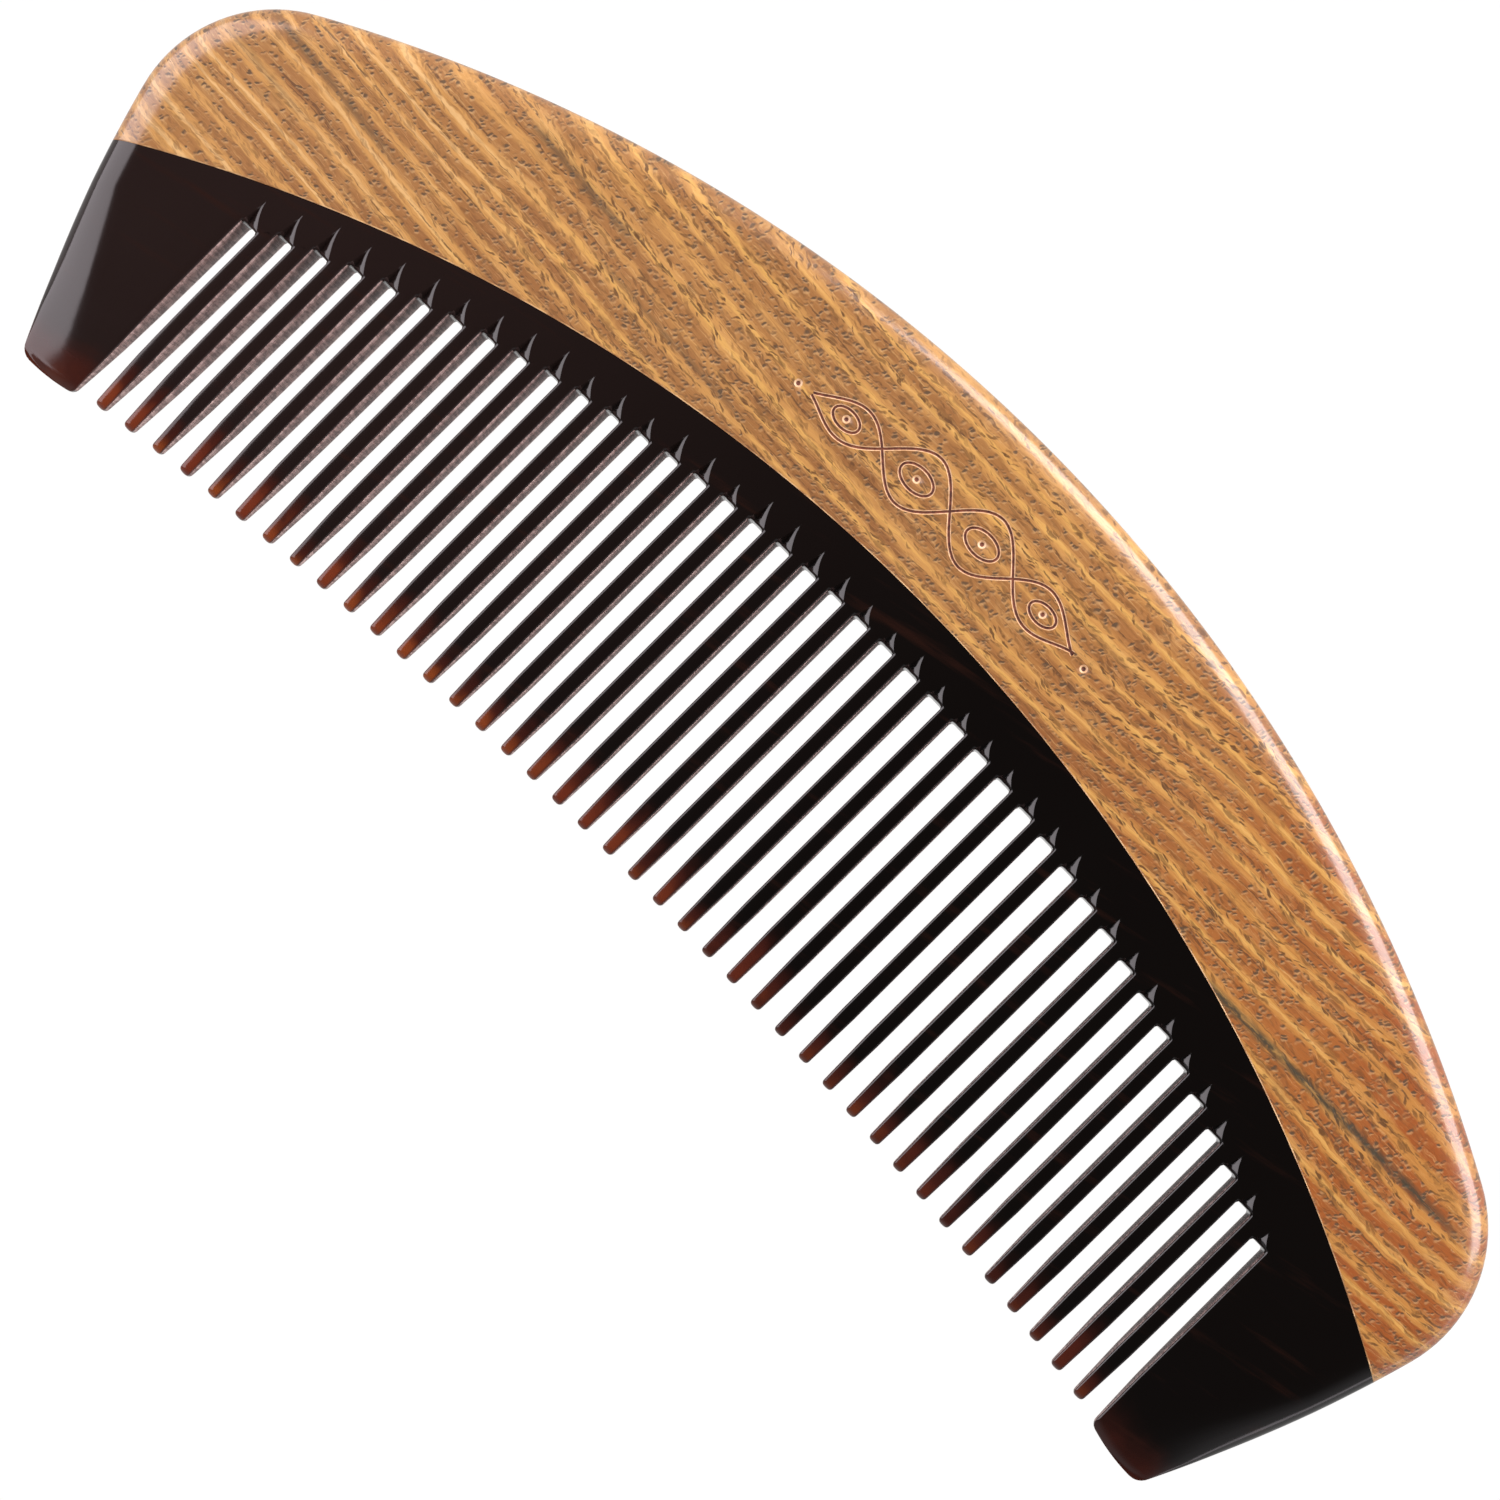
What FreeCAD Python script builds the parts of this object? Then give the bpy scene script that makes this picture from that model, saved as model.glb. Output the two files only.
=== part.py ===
import FreeCAD, Part
import math
import os
import Sketcher

# Moon-shaped comb: a wooden spine glued to a plate of horn with forty sawn teeth between two wide end guards.
#
# The comb is glued up first and shaped afterwards, so one blank is modelled, then divided along the seam.
# The faces are turned about a centre far below the comb: the blank is thickest in the spine and gets thinner
# towards the teeth. Bodies are drawn about that centre, with the mid-plane at z = 0. The seam is an arc about
# the same height, a little to the right: the joint is not quite true to the outline, as on a handmade comb.
# The finished pieces are then set down in the comb's own frame: X along its length, Y from the tooth tips to
# the crown, Z out of the front face, and the origin under the middle of the comb.

DIMENSIONS = [
    ("half_length", 88.6, "from the middle to the widest point of an end"),
    ("comb_depth", 65.0, "from the foot of a guard to the top of the crown"),
    ("spine_thickness", 7.5, "between the flat faces of the spine"),
    ("seam_thickness", 7.0, "where the wood meets the horn"),
    ("blend_length", 12.0, "of the rounding between the flat of the spine and the seam"),
    ("edge_round", 1.9, "radius along the crown and the ends"),
    ("seam_radius", 173.2, "of the seam"),
    ("seam_shift", 2.0, "of the seam's centre, to the right of the comb's middle"),
    ("crown_height", 192.6, "of the crown's top above the centre of turning"),
    ("crown_radius", 167.6, "of the crown"),
    ("corner_radius", 15.0, "where the crown turns down into the ends"),
    ("side_radius", 148.0, "of the nearly straight outer edge of a guard"),
    ("side_offset", 55.0, "of the centre of that edge's arc, past the middle of the comb"),
    ("foot_corner_radius", 2.4, "in plan, at the guard's outer corner"),
    ("foot_radius", 20.0, "of the guard's rounded foot"),
    ("foot_low_point", 77.0, "from the middle to the lowest point of a foot"),
    ("glue_gap", 0.12, "thickness of the film of glue"),
    ("tongue_height", 4.0, "of the horn's tongue above the seam"),
    ("tongue_thickness", 2.0, "of the horn's tongue"),
    ("tongue_angle", 52.0, "that the tongue spans about the seam's centre, stopped short of the ends"),
    ("pitch", 3.5, "from tooth to tooth"),
    ("kerf", 1.95, "width of a slot"),
    ("slot_shift", -0.35, "of the middle slot from the comb's middle"),
    ("root_radius", 168.0, "of the line of the slot roots"),
    ("root_height", 167.7, "of the middle slot's root above the centre of turning"),
    ("root_corner", 0.3, "radius in the corners of a slot root"),
    ("notch_length", 2.0, "of the pointed run-out above a slot, on each face"),
    ("saw_radius", 8.0, "of the pointed saw that leaves the run-out"),
    ("tip_radius", 500.0, "of the line of the tooth tips"),
    ("tip_height", 134.0, "of the middle tooth's tip above the centre of turning"),
    ("tip_thickness", 1.6, "of a tooth at its very end"),
    ("tip_slope", 0.233, "rise of each face per millimetre above the tip line"),
    ("tooth_tip_width", 1.26, "of a tooth just above its rounded end"),
    ("tip_taper_length", 6.5, "over which a tooth narrows to that width"),
    ("tip_corner", 0.4, "radius at the two corners of a tooth's end"),
]
SLOT_NUMBERS = range(-20, 21)
RING_ANGLE = 80.0
INNER_RADIUS = 115.0
OUTER_RADIUS = 205.0
TOOL_THICKNESS = 14.0
CORNER_REACH = "(Dimensions.crown_radius - Dimensions.corner_radius)"
CORNER_X = "(Dimensions.half_length - Dimensions.corner_radius)"
SIDE_CENTRE_HEIGHT = ("Dimensions.crown_height - Dimensions.crown_radius"
                      f" + sqrt({CORNER_REACH} ^ 2 - {CORNER_X} ^ 2)"
                      " + sqrt((Dimensions.side_radius - Dimensions.corner_radius) ^ 2"
                      f" - ({CORNER_X} + Dimensions.side_offset) ^ 2)")

doc = FreeCAD.newDocument("Comb")
sheet = doc.addObject("Spreadsheet::Sheet", "Dimensions")
size = {}
for line_number, (alias, value, meaning) in enumerate(DIMENSIONS, start=1):
    sheet.set(f"A{line_number}", alias)
    sheet.set(f"B{line_number}", str(value))
    sheet.set(f"C{line_number}", meaning)
    sheet.setAlias(f"B{line_number}", alias)
    size[alias] = value
doc.recompute()


def vector(across, up):
    return FreeCAD.Vector(across, up, 0)


def new_body(name):
    body = doc.addObject("PartDesign::Body", name)
    body.Label = name
    return body


def new_sketch(body, name, plane):
    """A sketch on one of the body's own origin planes."""
    sketch = body.newObject("Sketcher::SketchObject", name)
    origin_plane = next(f for f in body.Origin.OriginFeatures if f.Role == plane)
    sketch.AttachmentSupport = [(origin_plane, "")]
    sketch.MapMode = "FlatFace"
    return sketch


def bind(sketch, constraint, expression):
    """Adds a dimension to the sketch and ties it to the sheet."""
    index = sketch.addConstraint(constraint)
    sketch.setExpression(f"Constraints[{index}]", expression)
    return index


def cell(alias):
    return f"Dimensions.{alias}"


def draw_polygon(sketch, points):
    """Straight edges round a closed loop. Returns the number of its first edge."""
    first = sketch.GeometryCount
    for number, start in enumerate(points):
        end = points[(number + 1) % len(points)]
        sketch.addGeometry(Part.LineSegment(vector(*start), vector(*end)), False)
    count = len(points)
    for number in range(count):
        sketch.addConstraint(Sketcher.Constraint("Coincident", first + number, 2, first + (number + 1) % count, 1))
    return first


def join(sketch, kind, edge, other, point):
    """Makes two edges meet at a point, which both of them already reach."""
    ends = []
    for number in (edge, other):
        from_start = (sketch.getPoint(number, 1) - point).Length
        from_end = (sketch.getPoint(number, 2) - point).Length
        ends.append(1 if from_start < from_end else 2)
    sketch.addConstraint(Sketcher.Constraint(kind, edge, ends[0], other, ends[1]))


def place_point(sketch, edge, across, up):
    """Ties the start of an edge to two expressions, measured from the sketch's origin."""
    for kind, (value, expression) in (("DistanceX", across), ("DistanceY", up)):
        if value == 0:
            axis = -2 if kind == "DistanceX" else -1
            sketch.addConstraint(Sketcher.Constraint("PointOnObject", edge, 1, axis))
        else:
            bind(sketch, Sketcher.Constraint(kind, -1, 1, edge, 1, value), expression)


def revolve(body, name, sketch, angle, additive=True):
    """Turns a section about the upright axis through the body's origin, half of the angle to each side."""
    kind = "PartDesign::Revolution" if additive else "PartDesign::Groove"
    feature = body.newObject(kind, name)
    feature.Profile = sketch
    axis = next(f for f in body.Origin.OriginFeatures if f.Role == "Z_Axis")
    feature.ReferenceAxis = (axis, [""])
    feature.Midplane = True
    if isinstance(angle, str):
        feature.setExpression("Angle", angle)
    else:
        feature.Angle = angle
    return feature


def ring(name, inner, outer, half_height):
    """A body turned from one rectangle. The three arguments are (value, expression) pairs."""
    body = new_body(name)
    add_ring(body, f"{name}_ring", inner, outer, half_height, RING_ANGLE)
    return body


def add_ring(body, name, inner, outer, half_height, angle, additive=True):
    """One rectangle, symmetrical about the mid-plane, turned as part of a body."""
    sketch = new_sketch(body, f"{name}_section", "YZ_Plane")
    low = (-half_height[0], f"-({half_height[1]})")
    corners = [(inner, low), (outer, low), (outer, half_height), (inner, half_height)]
    first = draw_polygon(sketch, [(across[0], up[0]) for across, up in corners])
    for number, (across, up) in enumerate(corners):
        place_point(sketch, first + number, across, up)
    return revolve(body, name, sketch, angle, additive)


def fixed(value):
    return (value, f"{value}")


# The blank: a turned section cut to the comb's outline, with its long edges rounded.

def draw_section(body):
    """Half of the blank's section above the mid-plane and half below, out from the centre of turning."""
    sketch = new_sketch(body, "blank_section", "YZ_Plane")
    flat = size["spine_thickness"] / 2
    seam = size["seam_thickness"] / 2
    drop = flat - seam
    blend = size["blend_length"]
    flat_start = size["seam_radius"] + blend
    blend_radius = (blend**2 + drop**2) / (2 * drop)
    slope = blend / (blend_radius - drop)
    inner = seam - slope * (size["seam_radius"] - INNER_RADIUS)
    for side in (1, -1):
        first = sketch.GeometryCount
        centre = vector(flat_start, side * (flat - blend_radius))
        middle_angle = math.asin(blend / blend_radius) / 2
        middle = centre + FreeCAD.Vector(-math.sin(middle_angle), side * math.cos(middle_angle), 0) * blend_radius
        seam_point = vector(size["seam_radius"], side * seam)
        flat_point = vector(flat_start, side * flat)
        sketch.addGeometry(Part.LineSegment(vector(OUTER_RADIUS, side * flat), flat_point), False)
        sketch.addGeometry(Part.Arc(flat_point, middle, seam_point), False)
        sketch.addGeometry(Part.LineSegment(seam_point, vector(INNER_RADIUS, side * inner)), False)
        join(sketch, "Tangent", first, first + 1, flat_point)
        join(sketch, "Tangent", first + 1, first + 2, seam_point)
        sketch.addConstraint(Sketcher.Constraint("Horizontal", first))
        bind(sketch, Sketcher.Constraint("DistanceX", -1, 1, first, 2, flat_start),
             "Dimensions.seam_radius + Dimensions.blend_length")
        bind(sketch, Sketcher.Constraint("DistanceX", -1, 1, first + 2, 1, size["seam_radius"]),
             cell("seam_radius"))
        sign = "" if side == 1 else "-"
        bind(sketch, Sketcher.Constraint("DistanceY", -1, 1, first, 2, side * flat),
             f"{sign}Dimensions.spine_thickness / 2")
        bind(sketch, Sketcher.Constraint("DistanceY", -1, 1, first + 2, 1, side * seam),
             f"{sign}Dimensions.seam_thickness / 2")
        sketch.addConstraint(Sketcher.Constraint("DistanceX", -1, 1, first, 1, OUTER_RADIUS))
        sketch.addConstraint(Sketcher.Constraint("DistanceX", -1, 1, first + 2, 2, INNER_RADIUS))
    for edge, point in ((0, 1), (2, 2)):
        start = sketch.getPoint(edge, point)
        end = sketch.getPoint(edge + 3, point)
        closing = sketch.addGeometry(Part.LineSegment(start, end), False)
        sketch.addConstraint(Sketcher.Constraint("Coincident", closing, 1, edge, point))
        sketch.addConstraint(Sketcher.Constraint("Coincident", closing, 2, edge + 3, point))
    return sketch


def circle_meeting(centre_a, radius_a, centre_b, radius_b, pick):
    """The crossing of two circles that lies on the side given by pick, +1 or -1, of the line from a to b."""
    gap = centre_b - centre_a
    along = (radius_a**2 - radius_b**2 + gap.Length**2) / (2 * gap.Length)
    aside = math.sqrt(radius_a**2 - along**2)
    unit = FreeCAD.Vector(gap).normalize()
    normal = FreeCAD.Vector(-unit.y, unit.x, 0)
    return centre_a + unit * along + normal * (pick * aside)


def mirrored(point):
    return vector(-point.x, point.y)


def outline_centres():
    """Centres of the arcs round the right half of the comb, worked out from the sheet's sizes."""
    crown = vector(0, size["crown_height"] - size["crown_radius"])
    corner_x = size["half_length"] - size["corner_radius"]
    corner = vector(corner_x, crown.y + math.sqrt((size["crown_radius"] - size["corner_radius"])**2 - corner_x**2))
    side_x = -size["side_offset"]
    side_reach = size["side_radius"] - size["corner_radius"]
    side = vector(side_x, corner.y + math.sqrt(side_reach**2 - (corner_x - side_x)**2))
    foot = vector(size["foot_low_point"], size["crown_height"] - size["comb_depth"] + size["foot_radius"])
    foot_corner = circle_meeting(side, size["side_radius"] - size["foot_corner_radius"],
                                 foot, size["foot_radius"] - size["foot_corner_radius"], -1)
    return {"crown": crown, "corner": corner, "side": side, "foot_corner": foot_corner, "foot": foot}


def arc_about(centre, radius, start, end):
    """The shorter arc between two points of a circle."""
    middle = ((start - centre) + (end - centre)).normalize() * radius
    return Part.Arc(start, centre + middle, end)


def touching(centre, name, other):
    """The point where two of the outline's arcs run into each other, the first being the larger."""
    return centre[name] + (centre[other] - centre[name]).normalize() * size[f"{name}_radius"]


def draw_loop(sketch, pieces, joints, smooth):
    """Adds the pieces of a closed loop. Piece n starts at joint n; the joints named as smooth are tangent."""
    first = sketch.GeometryCount
    for piece in pieces:
        sketch.addGeometry(piece, False)
    for number, joint in enumerate(joints):
        kind = "Tangent" if number in smooth else "Coincident"
        join(sketch, kind, first + (number - 1) % len(joints), first + number, joint)
    return first


def draw_outline(body):
    """Crown, ends and sides inside a rectangle: what lies between the two is cut away."""
    sketch = new_sketch(body, "outline", "XY_Plane")
    centre = outline_centres()
    shoulder = touching(centre, "crown", "corner")
    hip = touching(centre, "side", "corner")
    base_y = 118.0
    base = vector(centre["side"].x + math.sqrt(size["side_radius"]**2 - (base_y - centre["side"].y)**2), base_y)
    pieces = [Part.Arc(mirrored(shoulder), vector(0, size["crown_height"]), shoulder),
              arc_about(centre["corner"], size["corner_radius"], shoulder, hip),
              arc_about(centre["side"], size["side_radius"], hip, base),
              Part.LineSegment(base, mirrored(base)),
              arc_about(mirrored(centre["side"]), size["side_radius"], mirrored(base), mirrored(hip)),
              arc_about(mirrored(centre["corner"]), size["corner_radius"], mirrored(hip), mirrored(shoulder))]
    joints = [mirrored(shoulder), shoulder, hip, base, mirrored(base), mirrored(hip)]
    draw_loop(sketch, pieces, joints, smooth={0, 1, 2, 5})
    crown, corner, side, bottom = 0, 1, 2, 3
    for edge, name in ((crown, "crown"), (corner, "corner"), (side, "side")):
        bind(sketch, Sketcher.Constraint("Radius", edge, size[f"{name}_radius"]), cell(f"{name}_radius"))
    sketch.addConstraint(Sketcher.Constraint("Equal", corner, 5))
    sketch.addConstraint(Sketcher.Constraint("Symmetric", corner, 3, 5, 3, -2))
    sketch.addConstraint(Sketcher.Constraint("Symmetric", side, 3, 4, 3, -2))
    bind(sketch, Sketcher.Constraint("DistanceY", -1, 1, crown, 3, centre["crown"].y),
         "Dimensions.crown_height - Dimensions.crown_radius")
    bind(sketch, Sketcher.Constraint("DistanceX", -1, 1, corner, 3, centre["corner"].x),
         "Dimensions.half_length - Dimensions.corner_radius")
    bind(sketch, Sketcher.Constraint("DistanceX", -1, 1, side, 3, centre["side"].x), "-Dimensions.side_offset")
    sketch.addConstraint(Sketcher.Constraint("Horizontal", bottom))
    sketch.addConstraint(Sketcher.Constraint("DistanceY", -1, 1, bottom, 1, base_y))

    frame_corners = [(-150, 60), (150, 60), (150, 240), (-150, 240)]
    first = draw_polygon(sketch, frame_corners)
    for number, (across, up) in enumerate(frame_corners):
        place_point(sketch, first + number, fixed(across), fixed(up))
    return sketch


def draw_feet_and_tips(body):
    """The comb's lower outline, closed round the waste below it: foot, tooth tips, foot."""
    sketch = new_sketch(body, "feet_and_tips", "XY_Plane")
    centre = outline_centres()
    ankle = touching(centre, "side", "foot_corner")
    sole = touching(centre, "foot", "foot_corner")
    end_x = size["pitch"] * SLOT_NUMBERS[-1]
    foot_side = math.sqrt(size["foot_radius"]**2 - (end_x - centre["foot"].x)**2)
    heel = vector(end_x, centre["foot"].y - foot_side)
    tip_centre = vector(0, size["tip_height"] - size["tip_radius"])
    last_tip = vector(end_x, tip_centre.y + math.sqrt(size["tip_radius"]**2 - end_x**2))
    waste_x, waste_y = 110.0, 70.0
    right = [ankle, sole, heel, last_tip]
    left = [mirrored(point) for point in reversed(right)]
    waste = [vector(-waste_x, ankle.y), vector(-waste_x, waste_y), vector(waste_x, waste_y),
             vector(waste_x, ankle.y)]
    joints = right + left + waste
    pieces = [arc_about(centre["foot_corner"], size["foot_corner_radius"], ankle, sole),
              arc_about(centre["foot"], size["foot_radius"], sole, heel),
              Part.LineSegment(heel, last_tip),
              Part.Arc(last_tip, vector(0, size["tip_height"]), mirrored(last_tip)),
              Part.LineSegment(mirrored(last_tip), mirrored(heel)),
              arc_about(mirrored(centre["foot"]), size["foot_radius"], mirrored(heel), mirrored(sole)),
              arc_about(mirrored(centre["foot_corner"]), size["foot_corner_radius"],
                        mirrored(sole), mirrored(ankle))]
    for number in range(7, 12):
        pieces.append(Part.LineSegment(joints[number], joints[(number + 1) % 12]))
    draw_loop(sketch, pieces, joints, smooth={1, 6})
    for side, corner_edge, corner_joint in ((1, 0, ankle), (-1, 6, mirrored(ankle))):
        guide_centre = centre["side"] if side == 1 else mirrored(centre["side"])
        guide = sketch.addGeometry(Part.Circle(guide_centre, vector(0, 0) + FreeCAD.Vector(0, 0, 1),
                                               size["side_radius"]), True)
        near = (sketch.getPoint(corner_edge, 1) - corner_joint).Length < 1e-3
        sketch.addConstraint(Sketcher.Constraint("Tangent", corner_edge, 1 if near else 2, guide))
        bind(sketch, Sketcher.Constraint("Radius", guide, size["side_radius"]), cell("side_radius"))
        bind(sketch, Sketcher.Constraint("DistanceX", -1, 1, guide, 3, guide_centre.x),
             f"{-side} * Dimensions.side_offset")
        bind(sketch, Sketcher.Constraint("DistanceY", -1, 1, guide, 3, guide_centre.y), SIDE_CENTRE_HEIGHT)
        foot_edge = 1 if side == 1 else 5
        bind(sketch, Sketcher.Constraint("Radius", corner_edge, size["foot_corner_radius"]),
             cell("foot_corner_radius"))
        bind(sketch, Sketcher.Constraint("Radius", foot_edge, size["foot_radius"]), cell("foot_radius"))
        bind(sketch, Sketcher.Constraint("DistanceX", -1, 1, foot_edge, 3, side * centre["foot"].x),
             f"{side} * Dimensions.foot_low_point")
        bind(sketch, Sketcher.Constraint("DistanceY", -1, 1, foot_edge, 3, centre["foot"].y),
             "Dimensions.crown_height - Dimensions.comb_depth + Dimensions.foot_radius")
    bind(sketch, Sketcher.Constraint("Radius", 3, size["tip_radius"]), cell("tip_radius"))
    sketch.addConstraint(Sketcher.Constraint("PointOnObject", 3, 3, -2))
    bind(sketch, Sketcher.Constraint("DistanceY", -1, 1, 3, 3, tip_centre.y),
         "Dimensions.tip_height - Dimensions.tip_radius")
    for edge, side in ((2, 1), (4, -1)):
        sketch.addConstraint(Sketcher.Constraint("Vertical", edge))
        bind(sketch, Sketcher.Constraint("DistanceX", -1, 1, edge, 1, side * end_x),
             f"{side * SLOT_NUMBERS[-1]} * Dimensions.pitch")
    for edge in (7, 9, 11):
        sketch.addConstraint(Sketcher.Constraint("Horizontal", edge))
    for edge, side in ((8, -1), (10, 1)):
        sketch.addConstraint(Sketcher.Constraint("Vertical", edge))
        sketch.addConstraint(Sketcher.Constraint("DistanceX", -1, 1, edge, 1, side * waste_x))
    sketch.addConstraint(Sketcher.Constraint("DistanceY", -1, 1, 9, 1, waste_y))
    return sketch


def long_edges(shape):
    """Edges along the crown and the ends, on both faces, but not those across the bottom of the blank."""
    names = []
    for number, edge in enumerate(shape.Edges, start=1):
        middle = edge.valueAt((edge.FirstParameter + edge.LastParameter) / 2)
        turned = isinstance(edge.Curve, Part.Circle) and math.hypot(edge.Curve.Center.x, edge.Curve.Center.y) < 1e-6
        upright = abs(middle.z) < 0.1
        if not turned and not upright and middle.y > 118.5:
            names.append(f"Edge{number}")
    return names


def cut_through(body, name, sketch):
    """Cuts a sketch's area out of the whole thickness and prints the volume before and after."""
    doc.recompute()
    before = body.Shape.Volume
    pocket = body.newObject("PartDesign::Pocket", name)
    pocket.Profile = sketch
    pocket.Type = "ThroughAll"
    pocket.Midplane = True
    doc.recompute()
    print(f"{name}: {before:.0f} mm3 before, {body.Shape.Volume:.0f} mm3 after")
    return pocket


blank = new_body("comb_blank")
revolve(blank, "blank_turned", draw_section(blank), RING_ANGLE)
outline_cut = cut_through(blank, "outline_cut", draw_outline(blank))
rounding = blank.newObject("PartDesign::Fillet", "long_edges_rounded")
rounding.Base = (outline_cut, long_edges(outline_cut.Shape))
rounding.setExpression("Radius", cell("edge_round"))
cut_through(blank, "feet_and_tips_cut", draw_feet_and_tips(blank))

# The seam: the spine has a stopped groove along its edge, the horn a tongue that is glued into it.

SHOULDER = (size["seam_radius"] - size["glue_gap"], "Dimensions.seam_radius - Dimensions.glue_gap")
TONGUE_TOP = (size["seam_radius"] + size["tongue_height"], "Dimensions.seam_radius + Dimensions.tongue_height")
TONGUE_HALF = (size["tongue_thickness"] / 2, "Dimensions.tongue_thickness / 2")
GROOVE_TOP = (TONGUE_TOP[0] + size["glue_gap"], f"{TONGUE_TOP[1]} + Dimensions.glue_gap")
GROOVE_HALF = (TONGUE_HALF[0] + size["glue_gap"], f"{TONGUE_HALF[1]} + Dimensions.glue_gap")
SEAM = (size["seam_radius"], cell("seam_radius"))

wood_zone = ring("wood_zone", SEAM, fixed(OUTER_RADIUS + 5), fixed(TOOL_THICKNESS / 2))
doc.recompute()
volume_before = wood_zone.Shape.Volume
add_ring(wood_zone, "tongue_groove", (SEAM[0] - 1, f"{SEAM[1]} - 1"), GROOVE_TOP, GROOVE_HALF,
         "Dimensions.tongue_angle + 0.08", additive=False)
doc.recompute()
print("wood zone before and after its groove:", round(volume_before), round(wood_zone.Shape.Volume))

horn_zone = ring("horn_zone", fixed(INNER_RADIUS - 5), SHOULDER, fixed(TOOL_THICKNESS / 2))
add_ring(horn_zone, "tongue", (SHOULDER[0] - 1, f"{SHOULDER[1]} - 1"), TONGUE_TOP, TONGUE_HALF,
         cell("tongue_angle"))
for zone in (wood_zone, horn_zone):
    zone.setExpression("Placement.Base.x", cell("seam_shift"))

wood_spine = doc.addObject("Part::Common", "wood_spine_cut")
wood_spine.Base = blank
wood_spine.Tool = wood_zone

horn_blank = doc.addObject("Part::Common", "horn_blank")
horn_blank.Base = blank
horn_blank.Tool = horn_zone

both_zones = doc.addObject("Part::Compound", "both_zones")
both_zones.Links = [wood_zone, horn_zone]
glue_line = doc.addObject("Part::Cut", "glue_line_cut")
glue_line.Base = blank
glue_line.Tool = both_zones
doc.recompute()


# The teeth: both faces are thinned towards the tip line, then the slots are sawn.

def tip_wedge():
    """What is left between the two planes of thinning, turned about the centre of the tip line."""
    body = new_body("tip_wedge")
    body.setExpression("Placement.Base.y", "Dimensions.tip_height - Dimensions.tip_radius")
    sketch = new_sketch(body, "wedge_section", "YZ_Plane")
    below, above, far = 3.0, 22.0, 90.0
    stations = [below * -1, above, far]
    halves = [size["tip_thickness"] / 2 + size["tip_slope"] * height for height in (stations[0], above, above)]
    half_words = [f"Dimensions.tip_thickness / 2 + Dimensions.tip_slope * {height}"
                  for height in (stations[0], above, above)]
    corners = [((size["tip_radius"] + station, f"Dimensions.tip_radius + {station}"), (half, words))
               for station, half, words in zip(stations, halves, half_words)]
    lower = [(across, (-up[0], f"-({up[1]})")) for across, up in reversed(corners)]
    loop = corners + lower
    first = draw_polygon(sketch, [(across[0], up[0]) for across, up in loop])
    for number, (across, up) in enumerate(loop):
        place_point(sketch, first + number, across, up)
    revolve(body, "wedge_turned", sketch, RING_ANGLE / 2)
    return body


def kerf_cutter():
    """One slot, from its root at the origin down past the tooth tips."""
    body = new_body("kerf_cutter")
    sketch = new_sketch(body, "kerf_plan", "XY_Plane")
    half = (size["kerf"] / 2, "Dimensions.kerf / 2")
    other = (-half[0], f"-({half[1]})")
    loop = [(other, fixed(-42.0)), (half, fixed(-42.0)), (half, fixed(0)), (other, fixed(0))]
    first = draw_polygon(sketch, [(across[0], up[0]) for across, up in loop])
    for number, (across, up) in enumerate(loop):
        place_point(sketch, first + number, across, up)
    pad = body.newObject("PartDesign::Pad", "kerf_depth")
    pad.Profile = sketch
    pad.Midplane = True
    pad.Length = TOOL_THICKNESS
    doc.recompute()
    root_edges = [f"Edge{number}" for number, edge in enumerate(pad.Shape.Edges, start=1)
                  if edge.BoundBox.ZLength > 1 and edge.CenterOfMass.y > -1]
    corners = body.newObject("PartDesign::Fillet", "root_corners")
    corners.Base = (pad, root_edges)
    corners.setExpression("Radius", cell("root_corner"))
    return body


def pointed_saw():
    """A disc as thick as a slot, with a rim ground to a right-angled point."""
    body = new_body("pointed_saw")
    sketch = new_sketch(body, "rim_section", "XY_Plane")
    half = (size["kerf"] / 2, "Dimensions.kerf / 2")
    other = (-half[0], f"-({half[1]})")
    shoulder = (size["saw_radius"] - half[0], "Dimensions.saw_radius - Dimensions.kerf / 2")
    rim = (size["saw_radius"], cell("saw_radius"))
    loop = [(other, fixed(0)), (half, fixed(0)), (half, shoulder), (fixed(0), rim), (other, shoulder)]
    first = draw_polygon(sketch, [(across[0], up[0]) for across, up in loop])
    for number, (across, up) in enumerate(loop):
        place_point(sketch, first + number, across, up)
    disc = body.newObject("PartDesign::Revolution", "saw_disc")
    disc.Profile = sketch
    axis = next(f for f in body.Origin.OriginFeatures if f.Role == "X_Axis")
    disc.ReferenceAxis = (axis, [""])
    disc.Angle = 360
    return body


def saw_place():
    """Where the saw's centre stands, from a slot root at the mid-plane, to run out at notch_length."""
    reach = size["notch_length"]
    rim = size["saw_radius"]
    shoulder = rim - size["kerf"] / 2
    back = (reach**2 - rim**2 + shoulder**2) / (2 * reach)
    lift = math.sqrt(shoulder**2 - back**2)
    slope = 2 * (size["spine_thickness"] - size["seam_thickness"]) / 2 / size["blend_length"]
    root_half = size["seam_thickness"] / 2 - slope * (size["seam_radius"] - size["root_height"])
    return back, root_half + lift


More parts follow.
